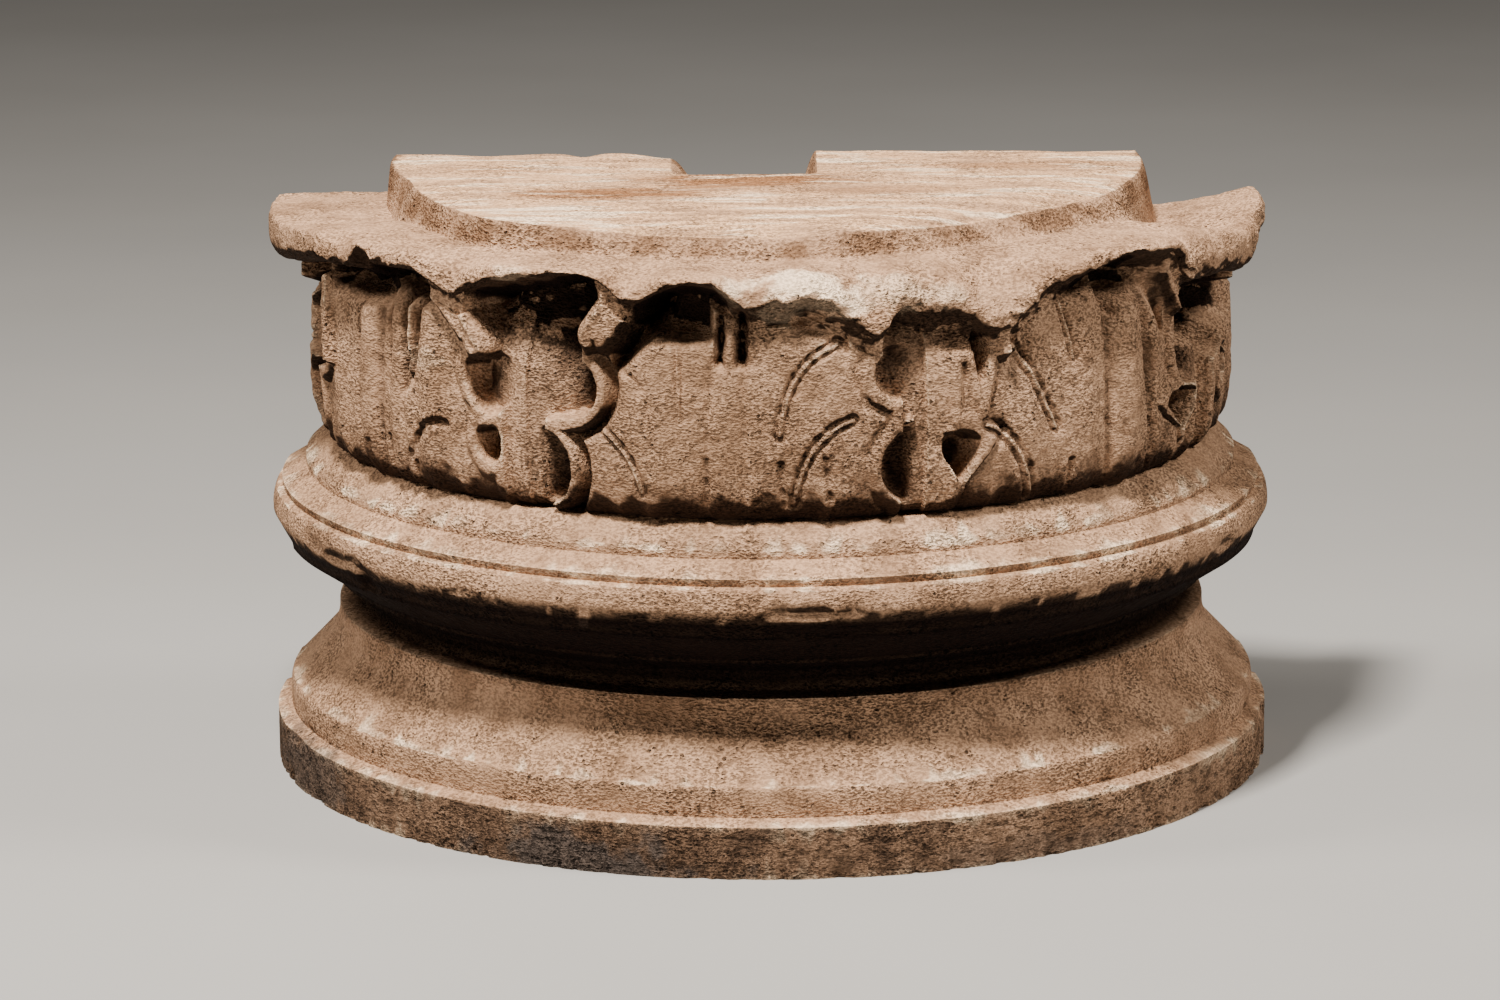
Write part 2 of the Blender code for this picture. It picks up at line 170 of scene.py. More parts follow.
outline.line(UNDERCUT_WIDTH, UNDERCUT_HEIGHT)
outline.line(0.0, FILLET_HEIGHT)
outline.line(TORUS_OUTREACH, TORUS_LOWER_HEIGHT)
outline.quarter(-TORUS_UPPER_WIDTH, TORUS_UPPER_HEIGHT, True)
outline.line(-GROOVE_DEPTH, GROOVE_HEIGHT)
outline.line(BAND_FILLET_LEAN, BAND_FILLET_HEIGHT)
outline.line(-BAND_WIDTH, BAND_HEIGHT)
outline.line(0.0, UPPER_FILLET_HEIGHT)
outline.line(-SEAT_WIDTH, SEAT_HEIGHT)
FOOT_RADIUS, FOOT_HEIGHT = outline.points[-1]


def smooth(low, high, value):
    """0 at low, 1 at high, with an easy passage between."""
    share = np.clip((value - low) / (high - low), 0.0, 1.0)
    return share * share * (3 - 2 * share)


def hump(value, centre, half_width):
    """A rounded bump of height 1 at the centre."""
    return np.exp(-((value - centre) / half_width) ** 2)


def grain(places, size, seed):
    """Smooth noise from -1 to 1 whose lumps measure about the given size in metres."""
    shift = Vector((seed * 7.31, seed * 3.17, seed * 5.73))
    return np.array([noise.noise(Vector(place) / size + shift) for place in places])


def along_circle(azimuth, size, seed):
    """Noise from -1 to 1 along the ring, its lumps about the given size in degrees."""
    return grain(np.stack([azimuth, azimuth * 0.0, azimuth * 0.0], axis=1), size, seed)


# Leaf ring of the stone
# Broad acanthus leaves are cut from the same block. Drilled eyes and a deep cave part them, and their tips
# have broken off. Sizes along the ring are shares of its height, from the middle of a gap or of a leaf.
RING_HEIGHT = 0.1175
LEAF_PITCH_DEG = 49.2
FRONT_LEAF_DEG = -6.0
LEAF_BELLY = 0.0090
BELLY_SKEW = 0.55
LEAF_LEAN = 0.0030
FOOT_RECESS = 0.0048
HOLE_DEPTH = 0.0140
LOBE_RISE = 0.0060
BORDER_WIDTH = 0.050
BORDER_RISE = 0.0014
CUT_EDGE = 0.012
RING_TURN = math.radians(1.0) * (FOOT_RADIUS + LEAF_BELLY) / RING_HEIGHT

# Each side of each gap: the gap's place counted in leaves and the side (-1 left, 1 right); depth of the
# ground in its middle and beside the leaf, of the hollows behind the border and behind the lobe, and of the
# cave above, in metres; the upper and the lower eye (across, level, half-width, half-height, extra depth,
# narrowing downwards); the tongue between them (tip, its level, root, its level); the curled lobe above
# (upper end across and level, lower end across and level, half-thicknesses)
GAP_SIDES = (
    (-2, -1, (0.008, 0.014, 0.002, 0.004, 0.012),
     (0.160, 0.480, 0.155, 0.140, 0.2, 0.0), (0.080, 0.200, 0.140, 0.150, 0.2, 0.0),
     (0.10, 0.345, 0.30, 0.350), (0.400, 0.860, 0.240, 0.670, 0.070, 0.045)),
    (-2, 1, (0.008, 0.014, 0.002, 0.003, 0.012),
     (0.160, 0.480, 0.155, 0.140, 0.4, 0.0), (0.080, 0.200, 0.140, 0.150, 0.5, 0.0),
     (0.10, 0.345, 0.30, 0.350), (0.380, 0.760, 0.430, 0.430, 0.060, 0.040)),
    (-1, -1, (0.004, 0.010, 0.000, 0.000, 0.014),
     (0.165, 0.500, 0.120, 0.125, 0.25, 0.3), (0.175, 0.255, 0.062, 0.078, 1.0, 0.1),
     (0.10, 0.340, 0.29, 0.345), (0.430, 0.880, 0.215, 0.650, 0.090, 0.058)),
    (-1, 1, (0.006, 0.012, 0.008, 0.019, 0.013),
     (0.170, 0.520, 0.155, 0.135, 0.0, 0.0), (0.060, 0.190, 0.150, 0.160, 0.4, 0.0),
     (0.10, 0.385, 0.30, 0.385), (0.450, 0.900, 0.330, 0.745, 0.095, 0.085)),
    (0, -1, (0.006, 0.010, 0.001, 0.003, 0.006),
     (0.085, 0.590, 0.130, 0.110, 0.2, 0.0), (0.040, 0.215, 0.150, 0.155, 0.5, 0.0),
     (0.06, 0.405, 0.26, 0.390), (0.440, 0.880, 0.200, 0.725, 0.050, 0.025)),
    (0, 1, (0.0025, 0.0005, 0.001, 0.002, 0.008),
     (0.240, 0.660, 0.034, 0.140, 1.3, 0.3), (0.150, 0.240, 0.070, 0.105, 1.0, 0.7),
     (0.07, 0.350, 0.32, 0.385), (0.340, 0.790, 0.345, 0.665, 0.050, 0.050)),
    (1, -1, (0.008, 0.018, 0.001, 0.006, 0.012),
     (0.150, 0.500, 0.160, 0.160, 0.5, 0.0), (0.240, 0.250, 0.095, 0.090, 1.0, 0.9),
     (0.34, 0.390, 0.40, 0.390), (0.470, 0.920, 0.345, 0.690, 0.050, 0.035)),
    (1, 1, (0.008, 0.016, 0.002, 0.003, 0.012),
     (0.130, 0.560, 0.150, 0.160, 0.4, 0.0), (0.270, 0.330, 0.045, 0.075, 1.0, 0.2),
     (0.34, 0.430, 0.40, 0.430), (0.330, 0.820, 0.320, 0.700, 0.050, 0.045)),
)
CHANNEL_HALF_WIDTH = 0.100
CHANNEL_LEVEL = 0.300
CHANNEL_HALF_HEIGHT = 0.440
# How the ground, the eyes, the cave and the hollows fade, in shares of the ring's height
GROUND_SPREAD = 0.22
GROUND_SPREAD_MOST = 1.3
TONGUE_HALVES = (0.004, 0.036)
EYE_NARROWEST = 0.2
EYE_WIDEST = 1.6
EYE_SLOPE = (0.010, -0.025)
UPPER_HOLE_FADE = (0.00, 0.16)
LOWER_HOLE_FADE = (0.04, 0.09)
CAVE_LEVELS = (0.58, 0.90)
CAVE_TRIM = 0.8
HOLLOW_BY_LOBE = (0.045, 0.032)
HOLLOW_BY_LOBE_LEVELS = (0.50, 0.66)
HOLLOW_BY_BORDER = (0.065, 0.018)
HOLLOW_BY_BORDER_LEVELS = (0.75, 0.60)
FAR_AWAY = 9.0


def across_leaf(azimuth, leaf):
    """Place across a leaf, from its middle, as a share of the ring's height."""
    return (azimuth - FRONT_LEAF_DEG - leaf * LEAF_PITCH_DEG) * RING_TURN


def rounded_stroke(across, level, start, end, start_half, end_half):
    """Distance outside a straight tapering stroke with round ends."""
    run = (end[0] - start[0], end[1] - start[1])
    along = ((across - start[0]) * run[0] + (level - start[1]) * run[1]) / (run[0] ** 2 + run[1] ** 2)
    along = np.clip(along, 0.0, 1.0)
    distance = np.hypot(across - start[0] - along * run[0], level - start[1] - along * run[1])
    return distance - start_half - (end_half - start_half) * along


def oval(across, level, eye):
    """Distance outside an oval eye, roughly."""
    centre, height, half_width, half_height, _, narrowing = eye
    up = (level - height) / half_height
    wide = np.clip(1 + narrowing * up, EYE_NARROWEST, EYE_WIDEST)
    return (np.hypot((across - centre) / (half_width * wide), up) - 1) * min(half_width, half_height)


def carve_gap_side(side, across, level):
    """Opening distance, depth of the ground, lobe distance and the hollow behind, on one side of a gap."""
    (middle, beside, behind_border, behind_lobe, cave_depth), upper, lower, tongue, lobe = side
    upper_eye = oval(across, level, upper)
    lower_eye = oval(across, level, lower)
    channel = np.maximum(across - CHANNEL_HALF_WIDTH, np.abs(level - CHANNEL_LEVEL) - CHANNEL_HALF_HEIGHT)
    opened = np.minimum(np.minimum(upper_eye, lower_eye), channel)
    opened = np.maximum(opened, -rounded_stroke(across, level, tongue[:2], tongue[2:], *TONGUE_HALVES))
    top_across, top_level, low_across, low_level, top_half, low_half = lobe
    lobe_lean = (top_across - low_across) / (top_level - low_level)
    cave_edge = low_across - low_half * CAVE_TRIM + lobe_lean * np.maximum(level - low_level, 0.0)
    cave = np.maximum(across - cave_edge, upper[1] - level)
    lobe_distance = rounded_stroke(across, level, lobe[:2], lobe[2:4], top_half, low_half)
    opened = np.maximum(np.minimum(opened, cave), -lobe_distance)
    ground = middle + (beside - middle) * np.minimum(across / GROUND_SPREAD, GROUND_SPREAD_MOST) ** 2
    ground = ground + cave_depth * smooth(*CAVE_LEVELS, level)
    upper_hole = upper[4] * smooth(*EYE_SLOPE, upper_eye) * smooth(*UPPER_HOLE_FADE, across)
    lower_hole = lower[4] * smooth(*EYE_SLOPE, lower_eye) * smooth(*LOWER_HOLE_FADE, across)
    ground = ground + HOLE_DEPTH * (upper_hole + lower_hole)
    hollow = behind_lobe * hump(lobe_distance, *HOLLOW_BY_LOBE) * smooth(*HOLLOW_BY_LOBE_LEVELS, level)
    hollow = hollow * (across > (top_across + low_across) / 2)
    hollow = hollow + (behind_border * hump(opened, *HOLLOW_BY_BORDER)
                       * smooth(*HOLLOW_BY_BORDER_LEVELS, level))
    return opened, ground, lobe_distance, hollow


def leaf_ring_fields(azimuth, level):
    """The four carved fields all along the ring."""
    fields = [np.full_like(level, start) for start in (FAR_AWAY, 0.0, FAR_AWAY, 0.0)]
    for place, side, *shape in GAP_SIDES:
        gap_azimuth = FRONT_LEAF_DEG + (place + 0.5) * LEAF_PITCH_DEG
        across = (azimuth - gap_azimuth) * side * RING_TURN
        near = (across >= 0.0) & (across < LEAF_PITCH_DEG / 2 * RING_TURN)
        for field, found in zip(fields, carve_gap_side(shape, across[near], level[near])):
            field[near] = found
    return fields


# Lines cut into the leaves: leaf counted from the front one, start, bend and end (across, level), the
# half-spacing of the pair or 0 for a single line, half-width, and depth in metres
LEAF_LINES = (
    (0, (0.47, 0.72), (0.27, 0.66), (0.235, 0.36), 0.016, 0.010, 0.0026),
    (0, (0.53, 0.415), (0.34, 0.37), (0.295, 0.08), 0.017, 0.010, 0.0028),
    (0, (-0.50, 0.37), (-0.37, 0.30), (-0.320, 0.12), 0.015, 0.010, 0.0026),
    (0, (-0.39, 0.60), (-0.27, 0.56), (-0.270, 0.30), 0.000, 0.010, 0.0016),
    (0, (-0.175, 0.80), (-0.170, 0.60), (-0.165, 0.42), 0.011, 0.008, 0.0018),
    (0, (0.002, 0.84), (0.000, 0.72), (-0.003, 0.65), 0.000, 0.019, 0.0110),
    (0, (0.088, 0.84), (0.086, 0.72), (0.083, 0.65), 0.000, 0.021, 0.0120),
    (0, (-0.040, 0.62), (-0.060, 0.30), (-0.060, 0.00), 0.000, 0.014, 0.0018),
    (0, (0.088, 0.62), (0.093, 0.30), (0.095, 0.00), 0.000, 0.013, 0.0016),
    (0, (-0.056, 0.26), (-0.059, 0.12), (-0.060, 0.00), 0.000, 0.016, 0.0030),
    (0, (0.240, 0.24), (0.252, 0.12), (0.260, 0.00), 0.000, 0.016, 0.0028),
    (0, (0.415, 0.26), (0.435, 0.12), (0.450, 0.00), 0.000, 0.016, 0.0030),
    (1, (-0.45, 0.66), (-0.33, 0.50), (-0.240, 0.31), 0.018, 0.011, 0.0031),
    (1, (-0.575, 0.36), (-0.41, 0.30), (-0.360, 0.05), 0.018, 0.011, 0.0031),
    (1, (-0.215, 0.82), (-0.18, 0.70), (-0.150, 0.58), 0.013, 0.009, 0.0024),
    (1, (0.030, 0.84), (0.045, 0.80), (0.060, 0.74), 0.000, 0.024, 0.0070),
    (1, (0.040, 0.84), (0.045, 0.40), (0.055, 0.00), 0.000, 0.020, 0.0036),
    (1, (0.255, 0.92), (0.300, 0.60), (0.350, 0.02), 0.000, 0.026, 0.0052),
    (1, (-0.160, 0.16), (-0.165, 0.08), (-0.170, 0.00), 0.000, 0.014, 0.0030),
    (1, (0.330, 0.30), (0.335, 0.15), (0.340, 0.00), 0.000, 0.012, 0.0022),
    (1, (0.560, 0.38), (0.44, 0.34), (0.420, 0.04), 0.000, 0.012, 0.0016),
    (-1, (0.020, 0.90), (0.015, 0.50), (0.010, 0.02), 0.000, 0.020, 0.0030),
    (-1, (0.076, 0.90), (0.078, 0.70), (0.080, 0.50), 0.000, 0.014, 0.0034),
    (-1, (0.170, 0.92), (0.190, 0.68), (0.195, 0.42), 0.000, 0.020, 0.0080),
    (-1, (0.290, 0.90), (0.262, 0.72), (0.225, 0.46), 0.000, 0.018, 0.0080),
    (-1, (-0.165, 0.90), (-0.170, 0.40), (-0.155, 0.00), 0.000, 0.024, 0.0042),
    (-1, (0.430, 0.31), (0.31, 0.33), (0.215, 0.15), 0.000, 0.018, 0.0036),
    (-1, (0.075, 0.20), (0.075, 0.10), (0.075, 0.00), 0.000, 0.014, 0.0030),
    (-1, (-0.060, 0.16), (-0.060, 0.08), (-0.060, 0.00), 0.000, 0.014, 0.0028),
    (-1, (0.245, 0.12), (0.245, 0.08), (0.245, 0.00), 0.000, 0.014, 0.0028),
    (-2, (0.45, 0.68), (0.28, 0.64), (0.240, 0.36), 0.016, 0.010, 0.0018),
    (-2, (0.55, 0.40), (0.36, 0.36), (0.310, 0.08), 0.017, 0.010, 0.0020),
    (2, (-0.45, 0.68), (-0.28, 0.64), (-0.240, 0.36), 0.016, 0.010, 0.0018),
    (2, (-0.55, 0.40), (-0.36, 0.36), (-0.310, 0.08), 0.017, 0.010, 0.0020),
)
LINE_PIECES = 7
LINE_WANDER_DEG = 1.6
LINE_WANDER_RISE_DEG = 40
LINE_DEPTH_LEAST = 0.75
LINE_DEPTH_CHANGE = 0.5

# Broad ribs and hollows of the leaves: leaf, place across, half-width, rise in metres
LEAF_SWELLS = (
    (0, -0.280, 0.120, 0.0022), (0, 0.018, 0.062, 0.0018), (0, 0.190, 0.075, 0.0010),
    (0, 0.430, 0.060, 0.0022), (-1, -0.350, 0.070, 0.0026), (-1, -0.070, 0.075, 0.0042),
    (-1, 0.130, 0.038, 0.0022), (-1, 0.222, 0.026, 0.0024), (-1, 0.340, 0.060, 0.0036),
    (1, -0.380, 0.060, 0.0016), (1, -0.090, 0.080, 0.0020), (1, 0.165, 0.085, 0.0046),
    (1, 0.350, 0.050, 0.0020), (-2, -0.200, 0.140, 0.0022), (-2, 0.160, 0.120, 0.0022),
    (2, -0.200, 0.140, 0.0022), (2, 0.160, 0.120, 0.0022),
)
SWELL_SINK = 0.0016
SWELL_FADE = (1.05, 0.75)


def leaf_swells(azimuth, level):
    """Rise of the broad ribs over the leaves' wall, in metres, fading towards the tips."""
    rise = np.full_like(level, -SWELL_SINK)
    for leaf, place, half_width, height in LEAF_SWELLS:
        across = across_leaf(azimuth, leaf)
        rise = rise + height * hump(across, place, half_width)
    return rise * smooth(*SWELL_FADE, level)


# Caves worked in behind the tips: azimuth and half-width in degrees, level where it begins, depth in metres
TIP_CAVES = (
    (-93.0, 8.0, 0.56, 0.016), (-62.0, 8.0, 0.70, 0.017), (-49.0, 7.5, 0.75, 0.018),
    (-39.0, 3.5, 0.78, 0.015), (-12.0, 4.8, 0.70, 0.017), (-5.5, 3.0, 0.81, 0.012), (2.2, 3.4, 0.79, 0.011),
    (10.0, 3.0, 0.74, 0.007), (39.5, 4.6, 0.80, 0.014), (47.0, 3.4, 0.74, 0.018), (72.5, 9.5, 0.46, 0.020),
    (90.0, 9.0, 0.60, 0.014),
)
CAVE_EDGE = 0.10


def tip_caves(azimuth, level):
    """Depth of the caves behind the tips, in metres."""
    depth = np.zeros_like(level)
    for place, half_width, start, deep in TIP_CAVES:
        across = np.exp(-((azimuth - place) / half_width) ** 4)
        depth = np.maximum(depth, deep * across * smooth(start, start + CAVE_EDGE, level))
    return depth


def leaf_lines(azimuth, level):
    """Depth of every incised line and drilled slot, in metres."""
    depth = np.zeros_like(level)
    for leaf, start, bend, end, half_spacing, half_width, deep in LEAF_LINES:
        across = across_leaf(azimuth, leaf)
        reach = half_spacing + 3 * half_width
        low_across = min(start[0], bend[0], end[0]) - reach
        high_across = max(start[0], bend[0], end[0]) + reach
        near = (across > low_across) & (across < high_across)
        near &= (level > min(start[1], end[1]) - reach) & (level < max(start[1], end[1]) + reach)
        closest = np.full(near.sum(), FAR_AWAY)
        previous = start
        for step in range(1, LINE_PIECES + 1):
            share = step / LINE_PIECES
            point = tuple((1 - share) ** 2 * s + 2 * share * (1 - share) * b + share ** 2 * e
                          for s, b, e in zip(start, bend, end))
            stretch = rounded_stroke(across[near], level[near], previous, point, 0.0, 0.0)
            closest = np.minimum(closest, stretch)
            previous = point
        wander = along_circle(azimuth[near] + LINE_WANDER_RISE_DEG * level[near], LINE_WANDER_DEG, 11)
        wander = LINE_DEPTH_LEAST + LINE_DEPTH_CHANGE * wander
        cut = deep * wander * hump(np.abs(closest), half_spacing, half_width)
        depth[near] = np.maximum(depth[near], cut)
    return depth


# Lower edge of the broken tips: azimuth in degrees, drop below the ring's top as a share of its height
LIP_EDGE = (
    (-104, 0.27), (-90, 0.27), (-76, 0.20), (-72.5, 0.185), (-66, 0.14), (-61.8, 0.14), (-60.6, 0.11),
    (-58.2, 0.13), (-56.8, 0.10), (-55.5, 0.01), (-54.4, 0.02), (-52.8, 0.08), (-49, 0.07), (-45, 0.07),
    (-41, 0.14), (-39.2, 0.155), (-37.5, 0.11), (-34.6, 0.07), (-29, 0.036), (-25.5, 0.01), (-22, 0.01),
    (-19.5, 0.04), (-17.6, 0.11), (-14.4, 0.09), (-12, 0.045), (-9, 0.02), (-6.5, 0.03), (-3, 0.13),
    (0, 0.126), (4.8, 0.09), (8.6, 0.164), (12.5, 0.27), (14.8, 0.134), (18.2, 0.18), (22.9, 0.174),
    (26, 0.27), (29, 0.257), (31.8, 0.185), (34.5, 0.11), (38, 0.09), (44, 0.034), (46.8, 0.015),
    (52, 0.05), (55.5, 0.06), (57.5, 0.205), (69, 0.225), (74, 0.26), (80, 0.27), (86, 0.22), (104, 0.20),
)
# How far the tips reach out from the ring's foot, in metres
LIP_REACH = (
    (-104, 0.0285), (-82, 0.0285), (-70, 0.0240), (-62, 0.0205), (-48, 0.0200), (-40, 0.0160),
    (-33, 0.0170), (-27, 0.0165), (-24, 0.0150), (-19, 0.0150), (-16, 0.0180), (-9, 0.0185), (-2, 0.0160),
    (6, 0.0135), (13, 0.0150), (19, 0.0110), (27, 0.0145), (34, 0.0135), (44, 0.0180), (55, 0.0190),
    (60, 0.0200), (66, 0.0225), (76, 0.0250), (80, 0.0245), (84, 0.0225), (88, 0.0275), (104, 0.0285),
)
# Thickness of the tips' front, in metres
LIP_FRONT = (
    (-104, 0.0270), (-80, 0.0265), (-70, 0.0190), (-60, 0.0110), (-52, 0.0095), (-42, 0.0100),
    (-34, 0.0080), (-26, 0.0075), (-20, 0.0070), (-12, 0.0075), (-6, 0.0080), (0, 0.0120), (8, 0.0120),
    (14, 0.0130), (20, 0.0150), (28, 0.0140), (36, 0.0090), (46, 0.0070), (55, 0.0090), (59, 0.0235),
    (72, 0.0250), (80, 0.0260), (88, 0.0230), (104, 0.0230),
)
# Width over which the roll of the tips rounds into the shelf, in metres, and how square its section is
LIP_ROUND = (
    (-104, 0.0040), (-78, 0.0050), (-66, 0.0090), (-50, 0.0110), (-38, 0.0100), (-30, 0.0080),
    (-20, 0.0100), (-4, 0.0120), (10, 0.0160), (22, 0.0160), (34, 0.0120), (50, 0.0110), (58, 0.0160),
    (72, 0.0190), (82, 0.0160), (90, 0.0090), (104, 0.0080),
)
LIP_SQUARE = (
    (-104, 3.4), (-74, 3.2), (-64, 2.4), (-54, 2.0), (56, 2.0), (72, 2.1), (104, 2.3),
)
# How far the underside of the tips is tucked in, in metres
LIP_TUCK = (
    (-104, 0.0090), (-74, 0.0090), (-71, 0.0150), (-62, 0.0140), (-59, 0.0050), (-50, 0.0030), (55, 0.0030),
    (62, 0.0070), (80, 0.0100), (104, 0.0080),
)
# Shares of the tips' front and roll, and how the two ends of the shelf, its horns, dip and sag
FRONT_SHARE = 0.35
HORN_FRONT_SHARE = 0.20
ROLL_SHARE = 0.45
SOFFIT_DROP = 0.0100
HORN_START_DEG = 60.0
HORN_FULL_DEG = 78.0
HORN_DIP = 0.0060
RIGHT_HORN_SAG = 0.0150
RIGHT_HORN_RISE = 0.0060


def along_ring(table, azimuth):
    """Value of a table of (azimuth, value) pairs, with its corners a little rounded."""
    angles, values = np.array(table, float).T
    return sum(np.interp(azimuth + shift, angles, values) for shift in (-0.8, 0.0, 0.8)) / 3


# The lobes on which each leaf stands: their borders across the leaf
LEAF_FEET = {
    -2: (-0.75, -0.48, -0.30, -0.06, 0.20, 0.42, 0.75),
    -1: (-0.75, -0.52, -0.300, -0.155, 0.010, 0.080, 0.245, 0.500, 0.75),
    0: (-0.75, -0.42, -0.300, -0.058, 0.100, 0.260, 0.430, 0.75),
    1: (-0.75, -0.54, -0.360, -0.170, 0.055, 0.340, 0.560, 0.75),
    2: (-0.75, -0.42, -0.20, 0.06, 0.30, 0.48, 0.75),
}
# How far up the feet are rounded under, and how each lobe's height, fullness and waviness change
FOOT_LEVEL = 0.050
FOOT_LOBE_LEVEL = 0.100
FOOT_LOBE_WIDTH = 0.16
FOOT_LOBE_LEAST = 0.45
FOOT_LOBE_CHANGE = 0.85
FOOT_LOBE_TURNS = (9, 4)
FOOT_LOBE_FULLNESS = 0.7
FOOT_WANDER = 0.18
FOOT_WANDER_DEG = 1.8
FOOT_CURVE = 1.6
BELLY_FULLNESS = 0.6
LOBE_SLOPE = (0.012, -0.045)
LOBE_OVER_CAVE = (-0.045, 0.010)
BORDER_GROOVE = (0.062, 0.012)
BORDER_GROOVE_SHARE = 0.5


def foot_levels(azimuth):
    """Level up to which the leaf's foot is rounded under, all along the ring."""
    found = np.full_like(azimuth, FOOT_LEVEL)
    for leaf, borders in LEAF_FEET.items():
        across = across_leaf(azimuth, leaf)
        for start, end in zip(borders, borders[1:]):
            lobe = (across >= start) & (across < end)
            change = abs(math.sin(FOOT_LOBE_TURNS[0] * start + FOOT_LOBE_TURNS[1] * leaf))
            tall = FOOT_LOBE_LEVEL * min(1.0, (end - start) / FOOT_LOBE_WIDTH)
            tall = tall * (FOOT_LOBE_LEAST + FOOT_LOBE_CHANGE * change)
            arch = np.sin((across[lobe] - start) / (end - start) * math.pi) ** FOOT_LOBE_FULLNESS
            found[lobe] = FOOT_LEVEL + tall * arch
    return found * (1 + FOOT_WANDER * along_circle(azimuth, FOOT_WANDER_DEG, 12))


def leaf_wall(azimuth, level):
    """Radius of the leaves' wall at a level."""
    opened, ground, lobes, hollow = leaf_ring_fields(azimuth, level)
    inside = smooth(CUT_EDGE / 2, -CUT_EDGE, opened)
    up = np.clip(level, 0.0, 1.0)
    belly = LEAF_BELLY * np.sin(math.pi * up ** BELLY_SKEW) ** BELLY_FULLNESS + LEAF_LEAN * up
    belly = belly - FOOT_RECESS * np.clip(1 - level / foot_levels(azimuth), 0.0, 1.0) ** FOOT_CURVE
    lobe = LOBE_RISE * smooth(*LOBE_SLOPE, lobes)
    cave = tip_caves(azimuth, level) * smooth(*LOBE_OVER_CAVE, lobes)
    groove = BORDER_GROOVE_SHARE * hump(opened, *BORDER_GROOVE)
    border = BORDER_RISE * (hump(opened, BORDER_WIDTH / 2, BORDER_WIDTH / 2) - groove)
    relief = lobe + border - hollow - leaf_lines(azimuth, level) + leaf_swells(azimuth, level)
    return FOOT_RADIUS + belly + relief * (1 - inside) - ground * inside - cave


# Shelf and half-round boss on top of the stone
# The top of the block is dressed level for the stone above. Time has rounded the boss's front edge, and a
# bite has broken out of its rear edge, so the outline wanders in and out.
SHELF_RISE = 0.0020
BOSS_HEIGHT = 0.0125
# Foot and upper edge of the boss: azimuth in degrees, radius as a share of the plinth's
BOSS_FOOT = (
    (-104, 0.768), (-80, 0.757), (-54, 0.795), (-40, 0.820), (-30, 0.790), (-20, 0.770), (-9, 0.775),
    (5, 0.785), (18, 0.755), (35, 0.735), (55, 0.755), (65, 0.785), (80, 0.775), (104, 0.765),
)
BOSS_EDGE = (
    (-104, 0.757), (-90, 0.752), (-75, 0.725), (-54, 0.770), (-42, 0.800), (-32, 0.765), (-20, 0.730),
    (-9, 0.735), (5, 0.750), (18, 0.715), (35, 0.685), (55, 0.705), (65, 0.725), (82, 0.740), (104, 0.745),
)
# How far the worn rim of the boss lies under its top: azimuth in degrees, metres
RIM_DROP = (
    (-104, 0.0002), (-52, 0.0003), (-40, 0.0006), (-30, 0.0022), (-20, 0.0042), (0, 0.0040), (10, 0.0024),
    (22, 0.0036), (35, 0.0050), (46, 0.0036), (60, 0.0036), (74, 0.0020), (86, 0.0004), (104, 0.0002),
)
SHELF_CURVE = 1.7
RIM_WIDTH = 0.030
BITE_LEFT = -0.0390
BITE_RIGHT = 0.0190
BITE_REACH = 0.0570
BITE_DEPTH = 0.0200
BITE_EDGE = 0.0050
# Chips along the rear edge of the top: place, half-width, reach forwards and depth in metres
REAR_CHIPS = (
    (-0.092, 0.007, 0.014, 0.0020), (-0.045, 0.020, 0.020, 0.0030), (0.150, 0.030, 0.010, 0.0010),
    (-0.140, 0.016, 0.012, 0.0012),
)
# Line behind the cut on which the flat rows meet; raggedness of the lip, and its least gaps to the shelf;
# where the right end rises, how the tips curl out, and how hollow the boss's side is
BACK_PIVOT = 0.060
RAGGED_SHARES = (0.6, 0.4)
RAGGED_SIZES_DEG = (2.6, 1.1)
RAGGED_TURN_DEG = 0.5
RAGGED_RISE = 0.0012
RAGGED_REACH = 0.0010
LIP_BELOW_SHELF = 0.0004
LIP_LEAST = 0.0020
RIGHT_RISE_DEG = (82.0, 90.0)
OUT_SHARE = 0.60
OUT_CURVE = 0.6
BOSS_HOLLOW_SHARE = 0.55

# The sheet's zones from the rear line under the stone to the one on top, and its rows in each
UNDERSIDE, TURNED, WALL, TIP, SHELF, BOSS, TOP = range(7)
UNDERSIDE_ROWS = 12
WALL_ROWS = 110
TIP_ROWS = 30
SHELF_ROWS = 34
BOSS_ROWS = 14
TOP_ROWS = 120
SHEET_COLUMNS = 900
SHEET_HALF_TURN_DEG = 104.0
TRIANGLE_BUDGET = 190000


def boss_rise(share):
    """Rise of the boss's side from its foot, 0, to its worn rim, 1: hollow below and rounded above."""
    rounded = (1 - BOSS_HOLLOW_SHARE) * np.sin(share * math.pi / 2)
    return BOSS_HOLLOW_SHARE * smooth(0.0, 1.0, share) + rounded


